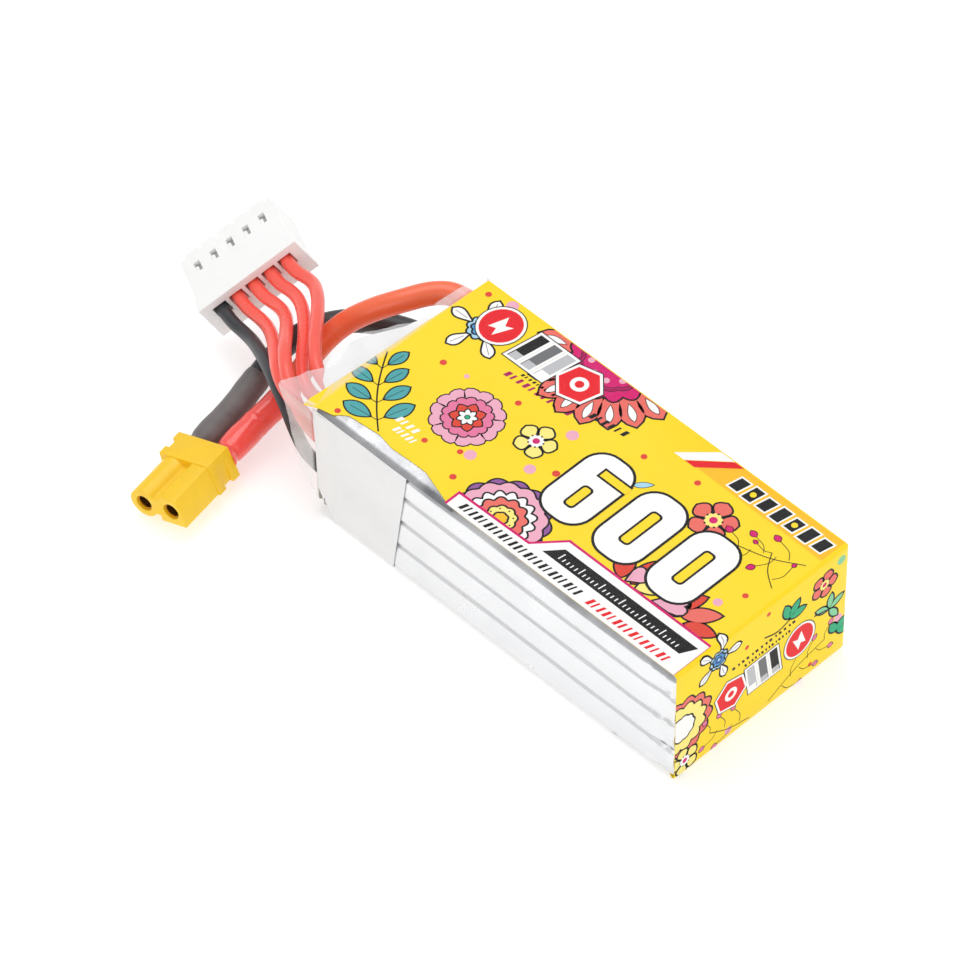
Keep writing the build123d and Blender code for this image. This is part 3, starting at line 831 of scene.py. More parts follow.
class PACK_OT_paper(bpy.types.Operator):
    """Wraps the wire end in white paper tape, with a loose flap over the board"""

    bl_idname = "pack.paper"
    bl_label = "Paper tape"

    def execute(self, context):
        low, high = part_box("paper_band")
        size, centre = high - low, (high + low) / 2
        band = new_box("paper_wrap", centre, size)
        cut_away(band, lambda face: abs(face.normal.x) > 0.9)
        round_edges(band, runs_lengthwise, 0.45 * MM)
        slice_at(band, [low.x + size.x * step / 14 for step in range(1, 14)], (1, 0, 0))
        slice_at(band, [low.z + size.z * step / 16 for step in range(1, 16)], (0, 0, 1))
        for vertex in band.data.vertices:
            here = vertex.co
            along = (here.x - low.x) / size.x
            here.x += along * (2.45 + 1.25 * (here.z - centre.z) / size.z * 2) * MM
            if abs(here.y) > size.y / 2 - 0.0001:
                wave = noise.noise(Vector((here.x * 160, here.y * 10, here.z * 200)))
                here.y -= math.copysign(0.10 * MM * abs(wave), here.y)
            if along < 0.05 and here.y < 0:
                here.x += 3.0 * MM * max(0.0, 1 - here.z / 0.0045) - 0.9 * MM * max(0.0, (here.z - 0.004) / 0.015)
        # the top is left open, except at the far side, so that the bare foil shows beside the label's notch
        cut_away(
            band, lambda face: face.calc_center_median().z > high.z - 0.00046 and face.calc_center_median().y < 0.012
        )
        give_wall(band, 0.08 * MM)
        # the band takes the greyer paper, painted shade on its sides; the flap on top takes the white paper
        hand_over(band, "paper_tape", "paper", "paper_band")

        outline = [
            (2.0, 5.6), (-0.6, 5.4), (-1.4, 4.9), (-2.0, 2.4), (-3.2, 0.0), (-4.5, -2.4), (-5.0, -4.4),
            (-5.1, -7.0), (-4.2, -9.0), (-2.8, -10.8), (-0.6, -12.2), (2.0, -12.4),
        ]
        flap = filled_outline("paper_flap", outline)
        slice_at(flap, [-4.5 + 0.5 * step for step in range(12)], (1, 0, 0))
        slice_at(flap, [-11 + 1.5 * step for step in range(11)], (0, 1, 0))
        for vertex in flap.data.vertices:
            u, v = vertex.co.x, vertex.co.y
            out = max(0.0, -u)
            lift = 18.62 - 0.012 * out * out + 0.06 * math.sin(v * 0.9 + out) * min(1.0, out)
            vertex.co = Vector((-30 + u, v, lift)) * MM
        give_wall(flap, 0.09 * MM)
        hand_over(flap, "white_paper", "paper")
        return {"FINISHED"}


# ---------------------------------------------------------------- label
# distances along the label at which its straight runs and folds start and stop
BEND = math.pi / 2 * LABEL_FOLD
TOP_RUN = (LABEL_HIGH.x - LABEL_LOW.x) / MM - LABEL_FOLD
END_START = TOP_RUN + BEND
END_STOP = END_START + (LABEL_HIGH.z - LABEL_LOW.z) / MM - 2 * LABEL_FOLD
UNDER_START = END_STOP + BEND
UNDER_STOP = UNDER_START + TOP_RUN
FOLD_CUTS = [start + BEND * step / 5 for start in (TOP_RUN, END_STOP) for step in range(6)]


def wrap(u, v, lift):
    """Label strip in millimetres (u from the wire end, v across) to a point on the pack, in metres."""
    top, bottom = LABEL_HIGH.z / MM, LABEL_LOW.z / MM
    wire, far = LABEL_LOW.x / MM, LABEL_HIGH.x / MM
    radius, inner = LABEL_FOLD + lift, far - LABEL_FOLD
    if u <= TOP_RUN:
        x, z = wire + u, top + lift
    elif u <= END_START:
        angle = (u - TOP_RUN) / LABEL_FOLD
        x, z = inner + radius * math.sin(angle), top - LABEL_FOLD + radius * math.cos(angle)
    elif u <= END_STOP:
        x, z = far + lift, top - LABEL_FOLD - (u - END_START)
    elif u <= UNDER_START:
        angle = (u - END_STOP) / LABEL_FOLD
        x, z = inner + radius * math.cos(angle), bottom + LABEL_FOLD - radius * math.sin(angle)
    else:
        x, z = inner - (u - UNDER_START), bottom - lift
    return Vector((x, v, z)) * MM


def droop(v):
    """How far the label turns down at a distance from its middle, in millimetres."""
    return 0.45 * max(0.0, abs(v) - DROOP_START) ** 1.5


def filled_outline(name, outline):
    """A flat face with the given outline, from a circle whose corners are moved to it."""
    bpy.ops.mesh.primitive_circle_add(vertices=len(outline), radius=1, fill_type="NGON")
    face = fresh(name)
    for vertex, (x, y) in zip(face.data.vertices, outline):
        vertex.co = (x, y, 0)
    open_mesh(face)
    bpy.ops.mesh.quads_convert_to_tris(quad_method="BEAUTY", ngon_method="BEAUTY")
    bpy.ops.mesh.normals_make_consistent(inside=False)
    close_mesh()
    if face.data.polygons[0].normal.z < 0:
        face.data.flip_normals()
    return face


class PACK_OT_label(bpy.types.Operator):
    """Folds the printed label over the top, the far end and the underside"""

    bl_idname = "pack.label"
    bl_label = "Label"

    def execute(self, context):
        settings = context.scene.pack_label
        edge = LABEL_EDGE
        outline = [
            (-0.05, edge + 0.2), (-1.5, -15.3), (0.5, -14.5), (2.4, -14.05), (3.0, -13.4), (3.8, -12.8),
            (8.5, -12.35), (11.0, -12.85), (14.0, -12.7), (16.6, -12.65), (19.1, -13.45), (21.5, -14.2),
            (23.0, -edge), (UNDER_START, -edge), (UNDER_START + 1.5, -13.6), (UNDER_STOP, -13.6),
            (UNDER_STOP, 13.6), (UNDER_START + 1.5, 13.6), (UNDER_START, edge), (60.0, edge + 0.2),
        ]
        sheet = filled_outline("label_sheet", outline)
        slice_at(sheet, FOLD_CUTS + [2.0 * step for step in (*range(30), *range(31, 39))], (1, 0, 0))
        slice_at(sheet, [-DROOP_START, -10, -5, 0, 5, 10, DROOP_START], (0, 1, 0))
        for vertex in sheet.data.vertices:
            u, v = vertex.co.x, vertex.co.y
            tip = 0.35 * max(0.0, 1 - math.hypot(u + 1.5, v + 15.3) / 4) ** 2  # the lifted corner at the wire end
            vertex.co = wrap(u, v, tip - droop(v) if u < TOP_RUN else -droop(v))
        give_wall(sheet, settings.sheet_thickness, 30)
        hand_over(sheet, "label_ground", "printed_film", "label")
        return {"FINISHED"}


# ---------------------------------------------------------------- print on the label
INKS = {
    "ink": (0.004, 0.0035, 0.004), "ground": (1.0, 0.72, 0.02), "amber": (0.98, 0.53, 0.015),
    "white": (0.97, 0.965, 0.95), "cream": (0.98, 0.84, 0.23), "teal": (0.075, 0.38, 0.40),
    "blue": (0.08, 0.33, 0.68), "sky": (0.40, 0.68, 0.86), "navy": (0.025, 0.09, 0.38),
    "red": (0.82, 0.008, 0.018), "scarlet": (0.75, 0.06, 0.035), "magenta": (0.68, 0.006, 0.16),
    "plum": (0.40, 0.003, 0.10), "salmon": (0.84, 0.16, 0.13), "pink": (0.80, 0.19, 0.36),
    "blush": (0.86, 0.42, 0.55), "purple": (0.29, 0.10, 0.34), "green": (0.02, 0.42, 0.20),
    "mint": (0.24, 0.62, 0.33), "silver": (0.52, 0.53, 0.55), "steel": (0.16, 0.165, 0.175),
}
CREAM_DAISY = ("cream", "white", "magenta")
SALMON_DAISY = ("salmon", "cream", "magenta")


# Shapes are lists of (x, y) corners in millimetres on the unrolled label.
def signed_area(points):
    """Twice the area, positive where the corners run anticlockwise."""
    return sum(a[0] * b[1] - b[0] * a[1] for a, b in zip(points, points[1:] + points[:1]))


def around(centre, radius, angle):
    return centre[0] + radius * math.cos(angle), centre[1] + radius * math.sin(angle)


def turns(count, start=0.0):
    """Even angles over one full turn."""
    return [start + 2 * math.pi * index / count for index in range(count)]


def shift_outline(points, distance):
    """The outline moved outwards by a distance."""
    turn = 1 if signed_area(points) > 0 else -1
    moved = []
    for index, here in enumerate(points):
        before, after = points[index - 1], points[(index + 1) % len(points)]
        first = Vector((here[0] - before[0], here[1] - before[1])).normalized()
        second = Vector((after[0] - here[0], after[1] - here[1])).normalized()
        across = Vector((first.y + second.y, -first.x - second.x))
        if not first.length or not second.length or across.length < 1e-6:
            moved.append(here)
            continue
        across.normalize()
        stretch = max(0.5, across.dot(Vector((first.y, -first.x))))
        moved.append((here[0] + across.x * turn * distance / stretch, here[1] + across.y * turn * distance / stretch))
    return moved


def disc(centre, radius, count=28):
    return [around(centre, radius, angle) for angle in turns(count)]


def scalloped(centre, radius, lobes, depth, turn=0.0):
    return [
        around(centre, radius * (1 - depth + depth * abs(math.cos(lobes * (angle - turn) / 2))), angle)
        for angle in turns(lobes * 8)
    ]


def swing(outline, root, angle):
    """The outline turned by the angle and moved from the middle to its root."""
    c, s = math.cos(angle), math.sin(angle)
    return [(root[0] + x * c - y * s, root[1] + x * s + y * c) for x, y in outline]


def petal(root, angle, length, width, point=1.0, count=9):
    """A petal from its root. Point above 1 narrows the tip, below 1 fills it out."""
    sides = []
    for index in range(count + 1):
        share = index / count
        half = width / 2 * math.sin(math.pi * share ** (1 / point)) ** 0.75 if 0 < share < 1 else 0.0
        sides.append((share * length, half))
    return swing(sides + [(x, -y) for x, y in reversed(sides[1:-1])], root, angle)


def heart_petal(root, angle, length, width):
    """A broad petal with a notch in its tip."""
    shape = ((0, 0.02), (0.25, 0.22), (0.5, 0.42), (0.75, 0.5), (0.93, 0.42), (1.0, 0.24), (0.97, 0.08), (0.9, 0.0))
    side = [(x * length, y * width) for x, y in shape]
    return swing(side + [(x, -y) for x, y in reversed(side[:-1])], root, angle)


def ribbon(points, width):
    """A drawn line of even width, curved smoothly through the points."""
    smooth = []
    for index in range(len(points) - 1):
        p0, p1, p2 = points[max(0, index - 1)], points[index], points[index + 1]
        p3 = points[min(len(points) - 1, index + 2)]
        for t in (0, 1 / 6, 2 / 6, 3 / 6, 4 / 6, 5 / 6):
            smooth.append(tuple(
                0.5 * (2 * p1[k] + (p2[k] - p0[k]) * t + (2 * p0[k] - 5 * p1[k] + 4 * p2[k] - p3[k]) * t * t
                       + (3 * p1[k] - p0[k] - 3 * p2[k] + p3[k]) * t ** 3)
                for k in (0, 1)
            ))
    smooth.append(points[-1])
    left, right = [], []
    for index, (x, y) in enumerate(smooth):
        before, after = smooth[max(0, index - 1)], smooth[min(len(smooth) - 1, index + 1)]
        ahead = Vector((after[0] - before[0], after[1] - before[1])).normalized() * (width / 2)
        left.append((x - ahead.y, y + ahead.x))
        right.append((x + ahead.y, y - ahead.x))
    return left + right[::-1]


def plain_box(low, high):
    return [(low[0], low[1]), (high[0], low[1]), (high[0], high[1]), (low[0], high[1])]


def rounded_box(low, high, radius, steps=5):
    """A rounded rectangle from its low and high corners."""
    (x0, y0), (x1, y1) = low, high
    outline = []
    for cx, cy, start in (
        (x1 - radius, y1 - radius, 0), (x0 + radius, y1 - radius, 90),
        (x0 + radius, y0 + radius, 180), (x1 - radius, y0 + radius, 270),
    ):
        outline += [around((cx, cy), radius, math.radians(start + 90 * index / steps)) for index in range(steps + 1)]
    return outline


class Press:
    """Collects printed shapes by ink and layer, and prints each ink as one piece."""

    def __init__(self, line):
        self.line = line
        self.shapes = {}

    def add(self, colour, outline, layer):
        self.shapes.setdefault(colour, []).append((outline, layer))

    def drawn(self, colour, outline, layer, line=None):
        """A shape in one ink with a dark line round it. It takes two layers."""
        half = (line or self.line) / 2
        self.add("ink", shift_outline(outline, half), layer)
        self.add(colour, shift_outline(outline, -half), layer + 1)

    def line_through(self, points, layer, width=None):
        self.add("ink", ribbon(points, width or self.line), layer)

    def dots(self, rows, count=18):
        for colour, spots in rows.items():
            for u, v, radius in spots:
                self.add(colour, disc((u, v), radius, count), 0)


def blossom(press, centre, layer, turn=0.0):
    """A layered blossom with notched outer petals."""
    for ring, (reach, length, width, colour, shape) in enumerate((
        (1.2, 3.4, 3.9, "blush", heart_petal), (0.7, 2.5, 2.6, "pink", heart_petal),
        (0.3, 2.0, 1.5, "scarlet", petal), (0.1, 1.25, 0.8, "white", petal),
    )):
        for angle in turns(7, turn + ring * 0.4):
            press.drawn(colour, shape(around(centre, reach, angle), angle, length, width), layer + 2 * ring, 0.18)
    press.drawn("green", disc(centre, 0.34, 12), layer + 8, 0.1)


def daisy(press, centre, layer, colours=CREAM_DAISY, radius=2.7, turn=0.3):
    """A simple open flower."""
    for angle in turns(5, turn):
        root = around(centre, 0.15 * radius, angle)
        press.drawn(colours[0], petal(root, angle, radius * 0.88, radius * 0.82, 0.72), layer)
    press.add(colours[1], disc(centre, radius * 0.36, 18), layer + 2)
    for angle in turns(10, turn):
        press.add("ink", disc(around(centre, radius * 0.36, angle), radius * 0.05, 8), layer + 3)
    press.add(colours[2], disc(centre, radius * 0.17, 14), layer + 3)


def star_flower(press, centre, layer, radius=5.0, turn=0.5):
    """Long white petals round a scalloped blue eye."""
    for angle in turns(5, turn):
        root = around(centre, 0.2 * radius, angle)
        press.drawn("white", petal(root, angle, radius * 0.8, radius * 0.34, 0.5), layer)
        press.line_through([around(root, radius * t, angle) for t in (0.3, 0.5, 0.68)], layer + 2, 0.07)
    press.drawn("sky", scalloped(centre, radius * 0.4, 9, 0.16), layer + 2)
    press.drawn("blue", scalloped(centre, radius * 0.28, 7, 0.2), layer + 4)
    press.drawn("navy", scalloped(centre, radius * 0.15, 5, 0.25), layer + 6, 0.08)
    press.add("sky", disc(centre, radius * 0.06, 10), layer + 8)


def sprig(press, root, tip, layer, pairs=5, leaf=3.5):
    """A bowed stem with pairs of drawn leaves."""
    stem = Vector((tip[0] - root[0], tip[1] - root[1]))
    bow = Vector((-stem.y, stem.x)) * 0.05
    heading = math.atan2(stem.y, stem.x)

    def on_stem(share):
        rise = math.sin(math.pi * share)
        return root[0] + stem.x * share + bow.x * rise, root[1] + stem.y * share + bow.y * rise

    press.line_through([on_stem(share) for share in (0, 0.25, 0.5, 0.75, 1)], layer + 2, 0.2)
    for index in range(pairs):
        share = 0.14 + 0.86 * index / pairs
        knot = on_stem(share)
        size = leaf * (1.05 - 0.35 * share)
        for side in (-1, 1):
            lean = heading + side * (1.05 - 0.3 * share)
            start = around(knot, 0.9, lean)
            press.line_through([knot, start], layer, 0.12)
            press.drawn("teal", petal(start, lean, size, size * 0.52, 0.9), layer, 0.2)
            press.line_through([start, around(start, size * 0.75, lean)], layer + 2, 0.08)


def berry_twig(press, root, tip, colour="magenta", berries=6, size=0.62):
    """A bare branching twig with a berry at the end of each side shoot."""
    stem = Vector((tip[0] - root[0], tip[1] - root[1]))
    side, along = Vector((-stem.y, stem.x)).normalized(), stem.normalized()
    halfway = (root[0] + stem.x * 0.5 + side.x * 0.5, root[1] + stem.y * 0.5 + side.y * 0.5)
    press.line_through([root, halfway, tip], 0, 0.13)
    for index in range(berries):
        share = 0.25 + 0.75 * index / max(1, berries - 1)
        way = 1 if index % 2 else -1
        reach = 2.4 * (1.1 - 0.4 * share)
        knot = Vector(root) + stem * share
        end = knot + side * way * reach + along * reach * 0.8
        bend = knot + side * way * reach * 0.55 + along * reach * 0.2
        press.line_through([tuple(knot), tuple(bend), tuple(end)], 0, 0.1)
        angle = math.atan2(end.y - bend.y, end.x - bend.x)
        press.drawn(colour, petal(tuple(end), angle, size * 2, size * 1.5, 1.1, 6), 1, 0.1)


def rosette(press, centre, rings):
    """Wavy rings one inside the other, as ink, radius, waves and their depth."""
    for index, (colour, radius, lobes, depth) in enumerate(rings):
        press.drawn(colour, scalloped(centre, radius, lobes, depth, 0.2 * index), 2 * index)


def numeral(press, left, openings):
    """A broad white figure with a dark line. Each opening is (low, high, open to the right), from the left edge."""
    low, high, layer = (left, -6.9), (left + 6.9, 4.9), 14
    press.add("ink", rounded_box((low[0] - 0.34, low[1] - 0.34), (high[0] + 0.34, high[1] + 0.34), 3.1, 7), layer)
    press.add("white", rounded_box(low, high, 2.8, 7), layer + 1)
    for start, stop, right in openings:
        start, stop = (left + start[0], start[1]), (left + stop[0], stop[1])
        dark_low = (start[0] - 0.3, start[1] - 0.3)
        if right:
            press.add("ink", plain_box(dark_low, (high[0] + 0.34, stop[1] + 0.3)), layer + 2)
            press.add("ground", plain_box(start, (high[0] + 0.36, stop[1])), layer + 3)
        else:
            press.add("ink", rounded_box(dark_low, (stop[0] + 0.3, stop[1] + 0.3), 0.6), layer + 2)
            press.add("ground", rounded_box(start, stop, 0.4), layer + 3)


def slanted_marks(press, start, end, height, count, colour, layer, fill=0.62, lean=0.35):
    """A row of slanted bars of uneven width between two points."""
    run = Vector((end[0] - start[0], end[1] - start[1]))
    ahead = run.normalized()
    step = run.length / count
    shift = Vector((-ahead.y, ahead.x)) * height + ahead * lean * height
    for index in range(count):
        a = Vector(start) + ahead * step * index
        b = a + ahead * (step * fill * (0.75 + 0.25 * math.cos(index * 2.4)))
        press.add(colour, [tuple(a), tuple(b), tuple(b + shift), tuple(a + shift)], layer)


def badge(press, at, scale, layer, flip=1):
    """A red disc with a zigzag, three slanted grey bars and a red hexagon, each with a white edge."""
    def spots(points):
        return [(at[0] + x * scale * flip, at[1] + y * scale * flip) for x, y in points]

    def edged(outline, colour):
        points = spots(outline)
        press.add("ink", shift_outline(points, 0.5 * scale), layer)
        press.add("white", shift_outline(points, 0.36 * scale), layer + 1)
        press.add(colour, points, layer + 2)

    edged([(-7.4 + 2.7 * math.cos(a), 0.2 + 2.9 * math.sin(a)) for a in turns(26)], "red")
    zigzag = ((-8.6, -0.9), (-7.7, 1.9), (-7.0, 0.5), (-6.0, 1.0), (-7.2, -1.7), (-7.6, -0.5))
    press.add("white", spots(zigzag), layer + 3)
    for x, colour, foot in ((-3.6, "ink", "silver"), (-3.6 + 2.25, "steel", "silver"), (-3.6 + 4.5, "silver", "white")):
        edged([(x, -2.6), (x + 1.5, -2.6), (x + 2.3, 2.6), (x + 0.8, 2.6)], colour)
        press.add(foot, spots(((x + 0.15, -2.6), (x + 1.5, -2.6), (x + 1.68, -1.4), (x + 0.33, -1.4))), layer + 3)
    nut = (6.2, 0.1)
    edged([around(nut, 2.9, a) for a in turns(6, 0.26)], "red")
    press.add("white", spots(disc(nut, 1.2, 20)), layer + 3)
    press.add("red", spots(disc(nut, 0.6, 16)), layer + 4)


def draw_far_strip(press):
    """The darker strip along the far edge, with its slanted white and red start and its row of blocks."""
    press.add("amber", [(38.4, 10.6), (43.4, 14.6), (TOP_RUN, 14.6), (TOP_RUN, 10.4)], 0)
    press.add("white", [(35.2, 10.4), (39.4, 14.6), (41.6, 14.6), (36.9, 10.4)], 1)
    press.add("red", [(37.0, 10.4), (41.7, 14.6), (43.2, 14.6), (38.6, 10.4)], 1)
    starts = [43.4 + 2.25 * index for index in range(7)]
    for colour, grow, layer in (("white", 0.22, 1), ("ink", 0.0, 2)):
        for index, u in enumerate(starts):
            tall = 1.15 if index % 2 else 1.0
            block = [(u, 12.2 - tall), (u + 1.45, 12.2 - tall), (u + 1.85, 12.2 + tall), (u + 0.4, 12.2 + tall)]
            press.add(colour, shift_outline(block, grow) if grow else block, layer)
    for u in (starts[1], starts[4]):
        press.add("ground", disc((u + 0.92, 12.2), 0.42, 14), 3)


def draw_half_flower(press):
    """The large flower that the far edge cuts in half."""
    centre = (20.4, 15.6)
    for index in range(9):
        angle = math.pi + 0.28 + (math.pi - 0.5) * index / 8
        press.drawn("salmon", petal(around(centre, 3.2, angle), angle, 7.4, 3.3, 0.6), 0)
        press.drawn("white", petal(around(centre, 6.6, angle), angle, 3.0, 1.0, 0.8), 2, 0.1)
    press.drawn("magenta", scalloped(centre, 6.2, 15, 0.12), 4)
    press.drawn("plum", scalloped(centre, 4.5, 13, 0.06), 6, 0.1)
    press.drawn("magenta", scalloped(centre, 3.9, 13, 0.06), 8, 0.08)
    for angle in (3.7, 4.4, 5.1, 5.8):
        press.add("blush", disc(around(centre, 2.9, angle), 0.45, 12), 10)


def draw_banner(press):
    """The white banner along the near edge, with its tick scale and two rows of marks."""
    press.add(
        "magenta",
        [(21.55, -15), (21.55, -11.95), (33.05, -11.75), (36.25, -8.15), (59.36, -8.15), (59.36, -15)], 14,
    )
    press.add("white", [(21.9, -15), (21.9, -12.3), (33.2, -12.1), (36.4, -8.5), (59.3, -8.5), (59.3, -15)], 15)
    press.add("ink", [(35.1, -11.7), (36.9, -9.6), (58.6, -9.6), (57.5, -11.7)], 16)
    for index in range(30):
        u = 37.2 + 0.66 * index
        tall = 1.1 if index % 5 == 0 else 0.55
        lean, top = 0.15 * tall, -11.25 + tall
        press.add("white", [(u, -11.25), (u + 0.16, -11.25), (u + 0.16 + lean, top), (u + lean, top)], 17)
    slanted_marks(press, (23.2, -13.9), (43.0, -13.9), 1.15, 24, "ink", 16, 0.6)
    slanted_marks(press, (44.2, -13.9), (57.4, -13.9), 1.15, 15, "red", 16, 0.6)


def draw_top(press):
    draw_far_strip(press)
    draw_half_flower(press)
    star_flower(press, (5.0, 8.4), 0, 5.0, 0.65)
    badge(press, (13.6, 10.1), 0.98, 12)
    slanted_marks(press, (12.0, 4.9), (22.6, 5.6), 0.9, 11, "plum", 0)
    slanted_marks(press, (13.6, 6.25), (19.0, 6.6), 0.42, 9, "ink", 1)
    slanted_marks(press, (24.0, 7.2), (29.6, 8.0), 0.95, 6, "ink", 6)

    sprig(press, (8.0, -12.1), (-0.4, -2.3), 0, 4, 4.2)
    for index in range(2):
        u, v = index * 0.9, -9.4 - index * 1.35
        slanted_marks(press, (8.0 + u, v), (11.6 + u, v), 0.95, 4 + index, "white", 4)
    blossom(press, (13.9, -3.0), 0, 0.2)
    daisy(press, (22.4, 0.1), 0)
    centre = (28.0, -11.6)
    rosette(press, centre, (
        ("purple", 6.3, 13, 0.09), ("blush", 5.8, 13, 0.09), ("white", 4.4, 16, 0.15),
        ("salmon", 3.4, 11, 0.16), ("cream", 2.1, 9, 0.12), ("amber", 1.0, 7, 0.1),
    ))
    for angle in turns(8):
        press.add("ink", disc(around(centre, 1.55, angle), 0.12, 8), 12)

    # leaves and buds behind the figures
    for root, angle, length, width, colour in (
        ((44.5, -8.2), 2.1, 5.0, 2.6, "scarlet"), ((46.0, -8.0), 1.5, 5.4, 2.6, "scarlet"),
        ((51.6, -7.6), 1.1, 5.2, 2.4, "scarlet"), ((53.4, -7.4), 0.75, 5.2, 2.4, "salmon"),
        ((54.6, -8.0), 0.3, 4.4, 2.2, "scarlet"), ((52.8, -8.2), 1.55, 3.6, 2.2, "salmon"),
    ):
        press.drawn(colour, petal(root, angle, length, width, 1.1), 0)
    press.drawn("cream", petal((46.8, -8.2), 0.9, 4.6, 2.6, 1.0), 2)
    press.drawn("blush", heart_petal((49.6, -8.1), 0.55, 4.4, 3.2), 4)
    press.drawn("blush", heart_petal((45.2, -8.1), 1.2, 3.0, 2.6), 4)
    daisy(press, (46.0, 6.0), 0, SALMON_DAISY, 3.1, 0.5)
    berry_twig(press, (58.6, 8.6), (50.8, 5.2), "magenta", 5)
    berry_twig(press, (58.2, 3.2), (54.4, 7.2), "magenta", 2, 0.4)
    for base in ((35.4, 3.2), (37.0, 1.8)):
        press.drawn("sky", petal(base, 0.8, 2.6, 0.9, 1.2), 0, 0.1)

    numeral(press, 28.6, [((3.0, -4.4), (4.1, -0.9), False), ((3.0, 1.5), (4.1, 2.6), True)])
    for left in (37.3, 46.0):
        numeral(press, left, [((2.9, -3.9), (4.1, 1.9), False)])
    draw_banner(press)
    press.dots({
        "scarlet": (
            (1.6, 12.9, 0.42), (5.6, 1.2, 0.45), (17.2, -7.5, 0.4), (12.9, -9.2, 0.4), (19.4, -10.9, 0.45),
            (16.6, 2.9, 0.42), (27.7, -1.9, 0.5), (33.2, 7.4, 0.42), (40.6, 8.9, 0.42), (2.2, -13.2, 0.4),
            (56.8, 0.2, 0.4),
        ),
        "blush": (
            (5.0, 13.6, 0.8), (24.8, 3.8, 0.8), (18.4, -7.0, 0.8), (25.0, -3.6, 0.75), (9.2, 1.6, 0.35),
            (55.2, -2.8, 0.6),
        ),
    })


def draw_end(press):
    def down(z):
        """The place along the label at a height on the far end."""
        return END_START + 18.36 - z

    turned = Press(press.line)
    badge(turned, (0, 0), 0.86, 10, -1)
    for colour, shapes in turned.shapes.items():
        for outline, layer in shapes:
            press.add(colour, [(down(8.0) + y, 0.2 + x) for x, y in outline], layer)
    for y0, y1, z in ((-5.4, 5.6, 12.6), (-3.2, 4.8, 11.5)):
        slanted_marks(press, (down(z), y1), (down(z), y0), 0.5, 14, "ink", 2, 0.6, -0.3)
    for angle in (2.5, 3.4, 1.6):
        press.drawn("green", petal((down(13.6), 4.6), angle, 3.0, 1.5, 1.0), 0)
    press.line_through([(down(13.4), 4.8), (down(12.9), 2.6), (down(13.6), 0.4)], 2)
    daisy(press, (down(14.8), 10.6), 0, SALMON_DAISY, 2.2, 0.2)
    for angle in (2.0, 3.0, 4.2, 0.6):
        press.drawn("mint", petal((down(9.6), 11.6), angle, 2.8, 1.2, 1.0), 0)
    press.line_through([(down(9.6), 11.6), (down(10.4), 9.0)], 2)
    for angle in (1.3, 2.4, 3.6):
        press.drawn("green", petal((down(4.4), 13.0), angle, 2.4, 1.5, 1.0), 0)
    berry_twig(press, (down(1.2), 1.4), (down(4.6), 11.0), "pink", 6, 0.55)
    berry_twig(press, (down(1.0), -1.8), (down(3.8), -8.6), "pink", 5, 0.55)
    star_flower(press, (down(16.2), -7.4), 0, 3.9, 0.3)
    rosette(press, (down(8.6), -13.4), (("salmon", 5.2, 13, 0.12), ("cream", 4.2, 12, 0.14), ("white", 2.2, 10, 0.08)))
    daisy(press, (down(2.4), -12.8), 8, CREAM_DAISY, 2.3, 0.9)
    rows = {
        "scarlet": ((10.6, 6.2, 0.4), (17.4, 1.0, 0.35), (14.4, -2.6, 0.35), (2.0, 8.6, 0.35)),
        "blush": ((6.6, 13.2, 0.75), (1.6, -5.4, 0.6)),
        "mint": ((17.0, 13.4, 0.7),),
    }
    press.dots({colour: [(down(z), y, radius) for z, y, radius in spots] for colour, spots in rows.items()}, 16)


def draw_underside(press):
    def at(u, v):
        return UNDER_START + u, v

    blossom(press, at(12, 5), 0, 0.7)
    star_flower(press, at(26, -7), 0, 5.0, 0.2)
    daisy(press, at(22, 8), 0)
    daisy(press, at(47, -8), 0, SALMON_DAISY, 3.0, 0.4)
    sprig(press, at(38, 12), at(49, 2), 0)
    rosette(press, at(9, -9), (
        ("purple", 5.2, 13, 0.09), ("blush", 4.8, 13, 0.09), ("white", 3.6, 16, 0.15),
        ("salmon", 2.6, 11, 0.16), ("cream", 1.5, 9, 0.12),
    ))
    berry_twig(press, at(34, -2), at(36, -11))
    rows = {
        "blush": ((4, 2), (30, 3), (55, 9)),
        "scarlet": ((17, -1), (33, 11), (42, -3), (56, -2), (19, -12)),
    }
    sizes = {"blush": 0.8, "scarlet": 0.45}
    press.dots({colour: [(*at(u, v), sizes[colour]) for u, v in spots] for colour, spots in rows.items()})


